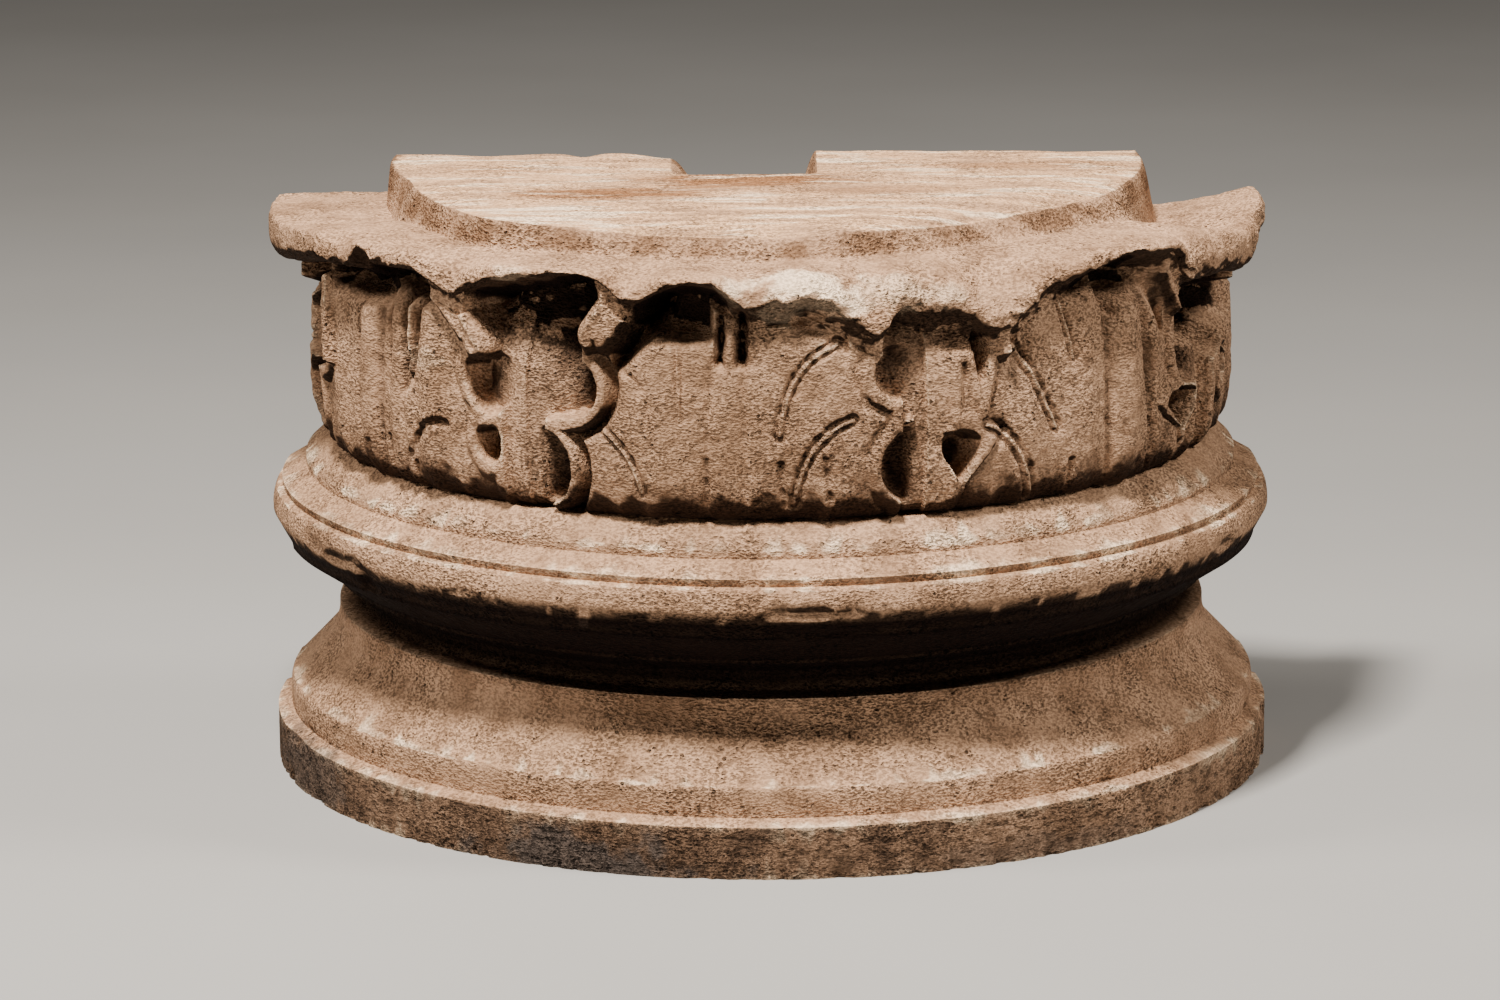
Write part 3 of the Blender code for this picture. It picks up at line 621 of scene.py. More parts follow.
def block_surface(azimuth, zone, share, turned_radius, turned_height):
    """Place of every point of the sheet wrapped round the block, from its underside to its top."""
    turn = np.radians(azimuth)
    around = np.stack([np.sin(turn), -np.cos(turn)], axis=1)
    wide_wander = along_circle(azimuth, RAGGED_SIZES_DEG[0], 1)
    close_wander = along_circle(azimuth, RAGGED_SIZES_DEG[1], 2)
    ragged = RAGGED_SHARES[0] * wide_wander + RAGGED_SHARES[1] * close_wander
    horn = smooth(HORN_START_DEG, HORN_FULL_DEG, np.abs(azimuth))
    shelf_height = FOOT_HEIGHT + RING_HEIGHT + SHELF_RISE - HORN_DIP * horn
    shelf_height = shelf_height + RIGHT_HORN_RISE * smooth(*RIGHT_RISE_DEG, azimuth)
    shelf_foot = shelf_height - RIGHT_HORN_SAG * smooth(HORN_START_DEG, HORN_FULL_DEG, azimuth)
    top_height = FOOT_HEIGHT + RING_HEIGHT + SHELF_RISE + BOSS_HEIGHT
    edge_drop = along_ring(LIP_EDGE, azimuth + RAGGED_TURN_DEG * ragged)
    lip_low = FOOT_HEIGHT + RING_HEIGHT * (1 - edge_drop) + RAGGED_RISE * ragged
    front = along_ring(LIP_FRONT, azimuth)
    lip_high = np.minimum(lip_low + front, shelf_height - LIP_BELOW_SHELF)
    lip_low = np.minimum(lip_low, lip_high - LIP_LEAST)
    round_width = along_ring(LIP_ROUND, azimuth)
    square = along_ring(LIP_SQUARE, azimuth)
    lip_radius = FOOT_RADIUS + along_ring(LIP_REACH, azimuth) + RAGGED_REACH * ragged * (1 - horn)
    radius = turned_radius.copy()
    height = turned_height.copy()

    wall_top = lip_low - SOFFIT_DROP * (1 - horn)
    ring = (zone == WALL) | (zone == TIP)
    up = np.where(zone == WALL, share, 1.0)[ring]
    ring_height = FOOT_HEIGHT + (wall_top[ring] - FOOT_HEIGHT) * up
    ring_radius = leaf_wall(azimuth[ring], (ring_height - FOOT_HEIGHT) / RING_HEIGHT)
    over = np.where(zone == TIP, share, 0.0)[ring]
    out = smooth(0.0, OUT_SHARE, over)
    turned_up = np.clip((over - OUT_SHARE) / (1 - OUT_SHARE), 0.0, 1.0) * math.pi / 2
    tucked = along_ring(LIP_TUCK, azimuth[ring]) * (1 - np.sin(turned_up))
    front_share = FRONT_SHARE + HORN_FRONT_SHARE * horn
    ring_radius = ring_radius + (lip_radius[ring] - tucked - ring_radius) * out
    front_foot = ((lip_high - lip_low) * front_share)[ring]
    ring_height = ring_height + (lip_low - wall_top)[ring] * out ** OUT_CURVE
    ring_height = ring_height + front_foot * (1 - np.cos(turned_up))
    radius[ring] = ring_radius
    height[ring] = ring_height

    shelf = zone == SHELF
    foot = PLINTH_RADIUS * along_ring(BOSS_FOOT, azimuth)
    edge = PLINTH_RADIUS * along_ring(BOSS_EDGE, azimuth)
    rolled = np.minimum(share / ROLL_SHARE, 1.0)[shelf] * math.pi / 2
    beyond = np.clip((share - ROLL_SHARE) / (1 - ROLL_SHARE), 0.0, 1.0)[shelf]
    width = (lip_radius - foot)[shelf]
    inwards = round_width[shelf] * (1 - np.cos(rolled) ** (2 / square[shelf]))
    inwards = inwards + (width - round_width[shelf]) * beyond
    top_surface = shelf_foot[shelf] - (shelf_foot - lip_high)[shelf] * (1 - inwards / width) ** SHELF_CURVE
    start_height = (lip_low + (lip_high - lip_low) * front_share)[shelf]
    radius[shelf] = lip_radius[shelf] - inwards
    height[shelf] = start_height + (top_surface - start_height) * np.sin(rolled) ** (2 / square[shelf])

    rim_drop = along_ring(RIM_DROP, azimuth)
    boss = zone == BOSS
    radius[boss] = edge[boss] + (foot - edge)[boss] * (1 - share[boss])
    height[boss] = shelf_foot[boss] + (top_height - rim_drop - shelf_foot)[boss] * boss_rise(share[boss])

    x = radius * around[:, 0]
    y = radius * around[:, 1]
    z = height
    plinth_edge = np.full_like(edge, PLINTH_RADIUS)
    for flat_zone, rim, level in ((UNDERSIDE, plinth_edge, 0.0), (TOP, edge, top_height)):
        flat = zone == flat_zone
        back = share[flat] if flat_zone == TOP else 1 - share[flat]
        x[flat] = (rim * around[:, 0])[flat] * (1 - back)
        y[flat] = (rim * around[:, 1])[flat] * (1 - back) + BACK_PIVOT * back
        z[flat] = level
    top = zone == TOP
    inside_rim = np.hypot(x - (edge * around[:, 0]), y - (edge * around[:, 1]))[top]
    z[top] -= rim_drop[top] * (1 - np.clip(inside_rim / RIM_WIDTH, 0.0, 1.0)) ** 2
    bite = (smooth(BITE_LEFT - 2 * BITE_EDGE, BITE_LEFT + 2 * BITE_EDGE, x[top])
            * smooth(BITE_RIGHT + BITE_EDGE, BITE_RIGHT - BITE_EDGE, x[top])
            * smooth(REAR_CUT - BITE_REACH - BITE_EDGE, REAR_CUT - BITE_REACH + BITE_EDGE, y[top]))
    z[top] -= BITE_DEPTH * bite
    for place, half_width, reach, depth in REAR_CHIPS:
        z[top] -= depth * hump(x[top], place, half_width) * smooth(REAR_CUT - reach, REAR_CUT, y[top])
    return np.stack([x, y, z], axis=1)


# Worn surface of the stone
# Weather and handling have dulled the tool marks, broken the tips' edges and chipped the turned arrises.
# Chips in the turned half: azimuth and half-width in degrees, height, half-height and depth in metres.
CHIPS = (
    (-59.0, 3.0, 0.1265, 0.0040, 0.0034), (-53.5, 1.8, 0.1270, 0.0034, 0.0028),
    (-52.5, 1.4, 0.1190, 0.0050, 0.0035), (-64.0, 2.2, 0.1290, 0.0040, 0.0024),
    (3.0, 3.4, 0.1275, 0.0030, 0.0028), (8.0, 2.0, 0.1275, 0.0028, 0.0022),
    (4.5, 4.5, 0.1150, 0.0028, 0.0020), (-2.4, 1.2, 0.1420, 0.0018, 0.0013),
    (4.2, 1.4, 0.1420, 0.0018, 0.0013), (-52.0, 1.2, 0.0425, 0.0030, 0.0018),
    (-88.0, 7.0, 0.1150, 0.0090, 0.0060), (-36.0, 2.0, 0.1275, 0.0024, 0.0018),
    (62.0, 2.4, 0.1275, 0.0030, 0.0025), (41.0, 1.6, 0.0262, 0.0030, 0.0016),
    (-70.0, 4.0, 0.0250, 0.0040, 0.0020), (80.0, 4.0, 0.0260, 0.0050, 0.0030),
    (-20.0, 1.0, 0.1550, 0.0016, 0.0010), (33.0, 1.3, 0.1420, 0.0018, 0.0012),
)
# Raggedness of the chips and of the plinth's lower edge; how far up the shelf the broken surface goes
CHIP_LUMPS = 0.80
CHIP_SHARE = 0.8
CHIP_SLOPE = (1.50, 0.20)
UNDER_EDGE_CHIP = 0.0030
UNDER_EDGE_HEIGHT = 0.010
UNDER_EDGE_SLOPE = (0.009, 0.0)
UNDER_EDGE_SIZES_DEG = (1.8, 0.7)
BROKEN_SHARE = 0.30
BROKEN_FADE_SHARE = 0.05
LEFT_HORN_WHOLE = 0.75
# Size and depth of the waves, lumps, carved grain, breaks and splinters, in metres
WAVE_SIZE = 0.055
WAVE_DEPTH = 0.0005
LUMP_SIZE = 0.013
LUMP_DEPTH = 0.0003
TURNED_WEAR = 0.35
CARVED_SIZE = 0.0045
CARVED_DEPTH = 0.0006
CARVED_LEAST = 0.0004
BREAK_SIZE = 0.0100
BREAK_DEPTH = 0.0022
SPLINTER_SIZE = 0.0045
SPLINTER_DEPTH = 0.0012


def wear(places, azimuth, zone, share):
    """How far each point of the worn, roughly tooled surface lies inwards, in metres."""
    wave = grain(places, WAVE_SIZE, 3)
    lumps = grain(places, LUMP_SIZE, 4)
    worn = WAVE_DEPTH * (1 + wave) + LUMP_DEPTH * (1 + lumps)
    turned = zone == TURNED
    worn[turned] *= TURNED_WEAR
    carved = (zone >= WALL) & (zone <= SHELF)
    worn[carved] += CARVED_DEPTH * grain(places[carved], CARVED_SIZE, 5) + CARVED_LEAST
    broken = (zone == TIP) | ((zone == SHELF) & (share < BROKEN_SHARE))
    fade = np.where(zone == SHELF, smooth(BROKEN_SHARE, BROKEN_FADE_SHARE, share), 1.0)[broken]
    fade = fade * (1 - LEFT_HORN_WHOLE * smooth(-HORN_START_DEG, -HORN_FULL_DEG, azimuth[broken]))
    worn[broken] += fade * (BREAK_DEPTH * np.abs(grain(places[broken], BREAK_SIZE, 8))
                            + SPLINTER_DEPTH * np.abs(grain(places[broken], SPLINTER_SIZE, 9)))
    height = places[:, 2]
    for centre, half_width, level, half_height, depth in CHIPS:
        near = turned & (np.abs(azimuth - centre) < 3 * half_width)
        near &= np.abs(height - level) < 3 * half_height
        distance = np.hypot((azimuth[near] - centre) / half_width, (height[near] - level) / half_height)
        distance = distance + CHIP_LUMPS * lumps[near]
        worn[near] = worn[near] + CHIP_SHARE * depth * smooth(*CHIP_SLOPE, distance)
    low_edge = turned & (height < UNDER_EDGE_HEIGHT)
    ragged = along_circle(azimuth[low_edge], UNDER_EDGE_SIZES_DEG[0], 6)
    ragged = np.clip(ragged + 0.5 * along_circle(azimuth[low_edge], UNDER_EDGE_SIZES_DEG[1], 7), 0, 1)
    worn[low_edge] += UNDER_EDGE_CHIP * ragged * smooth(*UNDER_EDGE_SLOPE, height[low_edge])
    return worn


# Tolerances of the rear cut in metres, and the turn from which an edge is sharp
CUT_TOLERANCE = 0.00002
MERGE_DISTANCE = 0.00001
SHARP_DEG = 60


def numbers_of(items, name, width, kind=float):
    """A property of all a mesh's vertices or edges, one row each."""
    values = np.empty(len(items) * width, kind)
    items.foreach_get(name, values)
    return values.reshape(-1, width)


def make_block():
    """One sheet is wrapped round the stone, thinned where it is plain and cut flat behind."""
    turned = np.array(outline.points)
    rows = [(UNDERSIDE, step / UNDERSIDE_ROWS, 0.0, 0.0) for step in range(UNDERSIDE_ROWS)]
    rows += [(TURNED, 0.0, radius, height) for radius, height in turned]
    upper_zones = ((WALL, WALL_ROWS), (TIP, TIP_ROWS), (SHELF, SHELF_ROWS), (BOSS, BOSS_ROWS),
                   (TOP, TOP_ROWS))
    for zone, count in upper_zones:
        rows += [(zone, step / count, 0.0, 0.0) for step in range(1, count + 1)]
    rows = np.array(rows)
    sheet = bmesh.new()
    bmesh.ops.create_grid(sheet, x_segments=SHEET_COLUMNS, y_segments=len(rows) - 1, size=1.0)
    mesh = bpy.data.meshes.new("capital_sheet")
    sheet.to_mesh(mesh)
    sheet.free()
    flat = numbers_of(mesh.vertices, "co", 3, np.float32)
    azimuth = flat[:, 0].astype(float) * SHEET_HALF_TURN_DEG
    row = np.rint((flat[:, 1] + 1) / 2 * (len(rows) - 1)).astype(int)
    zone, share, turned_radius, turned_height = (rows[row, index] for index in range(4))
    places = block_surface(azimuth, zone, share, turned_radius, turned_height)
    turn = np.radians(azimuth)
    inwards = np.stack([-np.sin(turn), np.cos(turn), np.zeros_like(turn)], axis=1)
    lean = np.where(zone == SHELF, np.minimum(share / ROLL_SHARE, 1.0), (zone > SHELF) * 1.0) * math.pi / 2
    inwards = inwards * np.cos(lean)[:, None] - np.sin(lean)[:, None] * np.array([[0.0, 0.0, 1.0]])
    inwards[zone == UNDERSIDE] = (0.0, 0.0, 0.0)
    places = places + inwards * wear(places, azimuth, zone, share)[:, None]
    mesh.vertices.foreach_set("co", places.astype(np.float32).ravel())
    mesh.update()

    sheet_object = bpy.data.objects.new("capital_sheet", mesh)
    bpy.context.scene.collection.objects.link(sheet_object)
    thin = sheet_object.modifiers.new("thin", "DECIMATE")
    thin.ratio = TRIANGLE_BUDGET / (2 * SHEET_COLUMNS * (len(rows) - 1))
    bpy.context.view_layer.update()
    thinned_object = sheet_object.evaluated_get(bpy.context.evaluated_depsgraph_get())
    thinned = bpy.data.meshes.new_from_object(thinned_object)
    bpy.data.objects.remove(sheet_object)

    block = bmesh.new()
    block.from_mesh(thinned)
    everything = list(block.verts) + list(block.edges) + list(block.faces)
    bmesh.ops.bisect_plane(block, geom=everything, dist=MERGE_DISTANCE, plane_co=(0, REAR_CUT, 0),
                           plane_no=(0, 1, 0), clear_outer=True)
    rim = [edge for edge in block.edges if edge.is_boundary]
    back = bmesh.ops.edgeloop_fill(block, edges=rim)["faces"]
    bmesh.ops.triangulate(block, faces=back)
    bmesh.ops.recalc_face_normals(block, faces=list(block.faces))
    final = bpy.data.meshes.new("capital_stone")
    block.to_mesh(final)
    block.free()
    final.shade_smooth()
    final.set_sharp_from_angle(angle=math.radians(SHARP_DEG))
    on_cut = numbers_of(final.vertices, "co", 3)[:, 1] > REAR_CUT - CUT_TOLERANCE
    ends = numbers_of(final.edges, "vertices", 2, int)
    sharp_edges = final.attributes["sharp_edge"].data
    sharp = numbers_of(sharp_edges, "value", 1, bool)[:, 0] | on_cut[ends].all(axis=1)
    sharp_edges.foreach_set("value", sharp)
    stone = bpy.data.objects.new("capital_stone", final)
    bpy.context.scene.collection.objects.link(stone)
    return stone


# Arrises painted white, partly as wear and partly as painted highlight: which turns of the outline count,
# and the nicks that interrupt them
ARRIS_TURN_DEG = 20.0
ARRIS_HALF_HEIGHT = 0.0011
ARRIS_WHITE = 0.46
NICK_SIZES_DEG = (1.7, 0.6)
NICK_SHARE = 0.6
NICK_SLOPE = (-0.25, 0.45)
UNDERCUT_ARRISES = (0.07, 0.130)
# Where the ring's openings are painted dark as shade, and how much painted shade lies at the feet, in the
# lines and in the slots
RING_INNER_RADIUS = FOOT_RADIUS - 0.05
RING_TOP_INNER_RADIUS = FOOT_RADIUS - 0.028
RING_TOP_LEVEL = 0.84
RING_LEVELS = (0.01, 1.0)
RING_FACING_UP = 0.5
BACK_FACING = 0.9
CAVE_DEPTHS = (0.003, 0.009)
CAVE_RADII = (FOOT_RADIUS + 0.012, FOOT_RADIUS + 0.002)
GROUND_SLOPE = (0.01, -0.05)
GROUND_RADII = (FOOT_RADIUS + 0.012, FOOT_RADIUS - 0.012)
MOTTLE_SIZE_DEG = 2.2
MOTTLE_RISE_DEG = 60
MOTTLE_SHARE = 0.35
FOOT_SHADE_LEVELS = (1.9, 0.2)
FOOT_SHADE = 0.52
LOW_SHADE_LEVELS = (0.32, 0.04)
LOW_SHADE = 0.22
LINE_DEPTHS = (0.0004, 0.0022)
LINE_SHADE = 0.44
SLOT_DEPTHS = (0.0030, 0.0080)
SLOT_SHADE = 0.56


def arris_heights():
    """Heights at which the turned outline has an outward corner, those of the dark neck left out."""
    points = np.array(outline.points)
    runs = np.diff(points, axis=0)
    turns = np.degrees(np.arctan2(runs[:, 1], runs[:, 0]))
    heights = points[1:-1][np.diff(turns) > ARRIS_TURN_DEG, 1]
    return [height for height in heights if not UNDERCUT_ARRISES[0] < height < UNDERCUT_ARRISES[1]]


def mark_shape(mesh):
    """Stores how convex each vertex is, and how deep it lies in the openings between the leaves."""
    count = len(mesh.vertices)
    places = numbers_of(mesh.vertices, "co", 3)
    normals = numbers_of(mesh.vertices, "normal", 3)
    ends = numbers_of(mesh.edges, "vertices", 2, int)
    first, second = ends.T
    run = places[first] - places[second]
    run /= np.linalg.norm(run, axis=1)[:, None] + 1e-9
    crest = np.zeros(count)
    edges = np.zeros(count)
    for here, there, sign in ((first, second, 1.0), (second, first, -1.0)):
        np.add.at(crest, here, sign * np.einsum("ij,ij->i", run, normals[here]))
        np.add.at(edges, here, 1.0)
    crest /= np.maximum(edges, 1.0)
    around = np.zeros(count)
    for here, there in ((first, second), (second, first)):
        np.add.at(around, here, crest[there])
    crest = 0.5 * crest + 0.5 * around / np.maximum(edges, 1.0)
    azimuth = np.degrees(np.arctan2(places[:, 0], -places[:, 1]))
    level = (places[:, 2] - FOOT_HEIGHT) / RING_HEIGHT
    radius = np.hypot(places[:, 0], places[:, 1])
    opened = leaf_ring_fields(azimuth, level)[0]
    nicked = along_circle(azimuth, NICK_SIZES_DEG[0], 13)
    nicked = smooth(*NICK_SLOPE, nicked + NICK_SHARE * along_circle(azimuth, NICK_SIZES_DEG[1], 14))
    # White lines along the arrises, partly wear and partly painted highlight, broken by the nicks.
    for arris in arris_heights():
        near = hump(places[:, 2], arris, ARRIS_HALF_HEIGHT) * (radius > RING_INNER_RADIUS)
        crest = np.maximum(crest, ARRIS_WHITE * near * nicked)
    # The recess value marks where painted shade goes: the openings, the caves, the leaves' feet, the lines
    # and the slots.
    in_ring = (level > RING_LEVELS[0]) & (level < RING_LEVELS[1]) & (radius > RING_INNER_RADIUS)
    in_ring &= (normals[:, 2] < RING_FACING_UP) & (normals[:, 1] < BACK_FACING)
    in_ring &= (level < RING_TOP_LEVEL) | (radius > RING_TOP_INNER_RADIUS)
    caves = smooth(*CAVE_DEPTHS, tip_caves(azimuth, level)) * smooth(*CAVE_RADII, radius)
    grounds = smooth(*GROUND_SLOPE, opened) * smooth(*GROUND_RADII, radius)
    mottled = 1 + MOTTLE_SHARE * along_circle(azimuth + MOTTLE_RISE_DEG * level, MOTTLE_SIZE_DEG, 15)
    foot = smooth(*FOOT_SHADE_LEVELS, level / foot_levels(azimuth)) * FOOT_SHADE
    foot = foot + smooth(*LOW_SHADE_LEVELS, level * mottled) * LOW_SHADE
    lines = leaf_lines(azimuth, level)
    slots = smooth(*LINE_DEPTHS, lines) * LINE_SHADE + smooth(*SLOT_DEPTHS, lines) * SLOT_SHADE
    recess = np.where(in_ring, np.max([grounds, foot, slots, caves], axis=0), 0)
    ahead_of_cut = places[:, 1] < REAR_CUT - CUT_TOLERANCE
    for name, values in (("crest", crest * ahead_of_cut), ("recess", recess * ahead_of_cut)):
        mesh.attributes.new(name, "FLOAT", "POINT").data.foreach_set("value", values.astype(np.float32))


stone = make_block()
mark_shape(stone.data)

# Colour and grain of the stone
# Warm weathered limestone: pale on its upper faces and arrises, partly by wear and partly as painted
# highlight;
# painted shade, brown in the openings, creases and at the leaves' feet and near black in the neck and on
# downward faces; rust and streaks on the dressed bed and grey patina below.
STONE_DEEP = (0.190, 0.104, 0.058, 1.0)
STONE_BODY = (0.352, 0.210, 0.126, 1.0)
STONE_PALE = (0.478, 0.292, 0.180, 1.0)
STONE_CREAM = (0.600, 0.350, 0.200, 1.0)
STONE_TOP = (0.700, 0.415, 0.225, 1.0)
STONE_WHITE = (0.880, 0.660, 0.450, 1.0)
# Dark brown of the painted shade in the creases, the openings and at the leaves' feet.
STONE_PAINTED_SHADE = (0.072, 0.040, 0.025, 1.0)
STONE_SHADOW = (0.008, 0.004, 0.003, 1.0)
STONE_RUST = (0.270, 0.125, 0.058, 1.0)
STONE_SIDE = (0.100, 0.060, 0.038, 1.0)
STONE_PATINA = (0.070, 0.058, 0.052, 1.0)
STONE_SPECULAR = 0.06
# Heights over which the dressed bed, boss side, neck painted near black as shade, and plinth side fade in, in
# metres
BED_HEIGHTS = (0.2865, 0.2905)
BOSS_FACE_HEIGHTS = (0.2830, 0.2850)
NECK_LOW_HEIGHTS = (0.074, 0.086)
NECK_HIGH_HEIGHTS = (0.1235, 0.1205)
PLINTH_SIDE_HEIGHTS = (0.0265, 0.0235)
# Patches: centre, half-sizes and strength; rust on the bed, white scars on the tips, patina on the plinth
RUST_PATCHES = (
    ((-0.078, -0.088, 0.296), (0.056, 0.020, 0.030), 1.00),
    ((-0.010, -0.052, 0.290), (0.070, 0.030, 0.030), 1.00),
    ((0.045, -0.080, 0.296), (0.060, 0.016, 0.030), 0.45),
    ((0.125, -0.015, 0.296), (0.060, 0.014, 0.030), 0.55),
    ((-0.130, -0.020, 0.296), (0.040, 0.010, 0.020), 0.40),
)
WHITE_SCARS = (
    ((0.014, -0.228, 0.273), (0.034, 0.024, 0.014), 0.90),
    ((-0.125, -0.205, 0.277), (0.020, 0.016, 0.006), 0.45),
    ((-0.160, -0.150, 0.230), (0.020, 0.060, 0.006), 0.35),
    ((0.060, -0.226, 0.272), (0.040, 0.030, 0.010), 0.35),
)
PATINA_PATCHES = (
    ((-0.085, -0.220, 0.004), (0.070, 0.070, 0.018), 0.85),
    ((-0.225, -0.090, 0.012), (0.040, 0.080, 0.018), 0.60),
    ((0.130, -0.205, 0.004), (0.080, 0.060, 0.010), 0.35),
)

stone_material = bpy.data.materials.new("limestone")
stone_material.use_nodes = True
tree = stone_material.node_tree
shader = tree.nodes["Principled BSDF"]
object_place = tree.nodes.new("ShaderNodeTexCoord").outputs["Object"]


def put(socket, value):
    """Joins a socket to an output, or sets it to a value."""
    if isinstance(value, bpy.types.NodeSocket):
        tree.links.new(value, socket)
    else:
        socket.default_value = value


def noise_value(scale, detail, roughness, stretch=(1.0, 1.0, 1.0)):
    """Noise over the object, from 0 to 1, about 0.5; a stretch above 1 packs it along that axis."""
    mapping = tree.nodes.new("ShaderNodeMapping")
    put(mapping.inputs["Vector"], object_place)
    mapping.inputs["Scale"].default_value = stretch
    node = tree.nodes.new("ShaderNodeTexNoise")
    put(node.inputs["Vector"], mapping.outputs["Vector"])
    node.inputs["Scale"].default_value = scale
    node.inputs["Detail"].default_value = detail
    node.inputs["Roughness"].default_value = roughness
    return node.outputs["Fac"]


def passage(value, low, high, result_low=0.0, result_high=1.0):
    """An easy passage between two results while the value goes from low to high."""
    node = tree.nodes.new("ShaderNodeMapRange")
    node.interpolation_type = "SMOOTHSTEP"
    put(node.inputs["Value"], value)
    limits = (("From Min", low), ("From Max", high), ("To Min", result_low), ("To Max", result_high))
    for name, number in limits:
        node.inputs[name].default_value = number
    return node.outputs["Result"]


def worked_out(operation, first, second):
    """Two values taken together by a sum, a product or a difference."""
    node = tree.nodes.new("ShaderNodeMath")
    node.operation = operation
    put(node.inputs[0], first)
    put(node.inputs[1], second)
    return node.outputs["Value"]


def both(first, second):
    """Two masks multiplied, so that each keeps the other within bounds."""
    return worked_out("MULTIPLY", first, second)


def colour_mix(share, first, second, blend="MIX"):
    """One colour laid over another by a share."""
    node = tree.nodes.new("ShaderNodeMix")
    node.data_type = "RGBA"
    node.blend_type = blend
    put(node.inputs["Factor"], share)
    put(node.inputs["A"], first)
    put(node.inputs["B"], second)
    return node.outputs["Result"]


def own_mask(name):
    """A value stored on the stone's own points."""
    node = tree.nodes.new("ShaderNodeAttribute")
    node.attribute_name = name
    return node.outputs["Fac"]


def pits(scale, warp_size):
    """Small round pits over the stone, from 0 in their middle to 1 on the face between them."""
    bent = tree.nodes.new("ShaderNodeVectorMath")
    bent.operation = "MULTIPLY_ADD"
    warp = tree.nodes.new("ShaderNodeTexNoise")
    put(warp.inputs["Vector"], object_place)
    warp.inputs["Scale"].default_value = scale * 0.7
    put(bent.inputs[0], warp.outputs["Color"])
    bent.inputs[1].default_value = (warp_size, warp_size, warp_size)
    put(bent.inputs[2], object_place)
    node = tree.nodes.new("ShaderNodeTexVoronoi")
    node.feature = "F1"
    put(node.inputs["Vector"], bent.outputs["Vector"])
    node.inputs["Scale"].default_value = scale
    return passage(node.outputs["Distance"], 0.12, 0.46)


def oval_patch(centre, half_sizes, ragged):
    """1 inside an oval patch of the surface, with a ragged edge; 0 outside."""
    mapping = tree.nodes.new("ShaderNodeMapping")
    put(mapping.inputs["Vector"], object_place)
    mapping.inputs["Scale"].default_value = [1 / size for size in half_sizes]
    mapping.inputs["Location"].default_value = [-place / size for place, size in zip(centre, half_sizes)]
    length = tree.nodes.new("ShaderNodeVectorMath")
    length.operation = "LENGTH"
    put(length.inputs[0], mapping.outputs["Vector"])
    distance = worked_out("ADD", length.outputs["Value"], passage(ragged, 0.25, 0.75, 0.55, -0.55))
    return passage(distance, 1.05, 0.55)


cloud = noise_value(11.0, 5.0, 0.55)
blotch = noise_value(46.0, 6.0, 0.62)
pit = noise_value(260.0, 4.0, 0.60)
coarse = pits(330.0, 0.0040)
fine = pits(640.0, 0.0020)
grit = noise_value(560.0, 1.5, 0.55, (1.0, 1.0, 1.7))
dents = noise_value(190.0, 1.5, 0.50)
rough_area = passage(noise_value(34.0, 3.0, 0.60), 0.35, 0.62, 0.45, 1.0)
tooling = noise_value(150.0, 3.0, 0.65, (1.0, 1.0, 2.8))
crest = own_mask("crest")
recess = own_mask("recess")
facing_parts = tree.nodes.new("ShaderNodeSeparateXYZ")
put(facing_parts.inputs["Vector"], tree.nodes.new("ShaderNodeNewGeometry").outputs["Normal"])
upwards = facing_parts.outputs["Z"]
off_back = passage(facing_parts.outputs["Y"], 0.90, 0.70)
place_parts = tree.nodes.new("ShaderNodeSeparateXYZ")
put(place_parts.inputs["Vector"], object_place)
height_up = place_parts.outputs["Z"]
dressed_top = both(passage(upwards, 0.90, 0.985), passage(height_up, *BED_HEIGHTS))
boss_face = both(passage(height_up, *BOSS_FACE_HEIGHTS), passage(upwards, 0.990, 0.95))
boss_face = both(boss_face, off_back)
neck_shade = both(passage(height_up, *NECK_LOW_HEIGHTS), passage(height_up, *NECK_HIGH_HEIGHTS))
neck_shade = both(neck_shade, off_back)
plinth_side = both(passage(height_up, *PLINTH_SIDE_HEIGHTS), passage(upwards, 0.5, 0.2))
plinth_side = both(plinth_side, off_back)
streak = noise_value(15.0, 6.0, 0.66, (1.0, 6.0, 2.0))
thin_streak = noise_value(48.0, 4.0, 0.60, (1.0, 6.0, 2.0))

colour = colour_mix(passage(cloud, 0.30, 0.70), STONE_BODY, STONE_PALE)
colour = colour_mix(passage(blotch, 0.56, 0.36, 0.0, 0.55), colour, STONE_DEEP)
# Faces turned upwards are painted paler, partly as wear and partly as painted highlight from the light above.
lit_and_worn_upper_faces = both(passage(upwards, 0.45, 0.95, 0.0, 0.26), passage(blotch, 0.30, 0.58, 0.20, 1.0))
colour = colour_mix(lit_and_worn_upper_faces, colour, STONE_CREAM)
# The dressed bed is painted paler still, partly as paler dressed stone and partly as painted highlight.
colour = colour_mix(both(dressed_top, 0.80), colour, STONE_TOP)
# Convex crests and arrises painted white, partly as wear and partly as painted highlight.
worn_and_lit_arrises = both(passage(crest, 0.10, 0.32), passage(blotch, 0.40, 0.62, 0.15, 0.85))
colour = colour_mix(worn_and_lit_arrises, colour, STONE_WHITE)
# Painted shade, dark brown, in the hollow creases.
colour = colour_mix(passage(crest, -0.03, -0.16, 0.0, 0.80), colour, STONE_PAINTED_SHADE)
# Painted shade, near black, in the neck under the torus.
colour = colour_mix(both(neck_shade, 0.97), colour, STONE_SHADOW)
side_dirt = passage(place_parts.outputs["X"], 0.05, 0.17, 1.0, 0.45)
side_dirt = both(passage(blotch, 0.30, 0.65, 0.95, 0.50), side_dirt)
colour = colour_mix(both(plinth_side, side_dirt), colour, STONE_SIDE)
# Painted shadow, near black, on faces turned downwards.
colour = colour_mix(passage(upwards, -0.22, -0.44, 0.0, 0.93), colour, STONE_SHADOW)
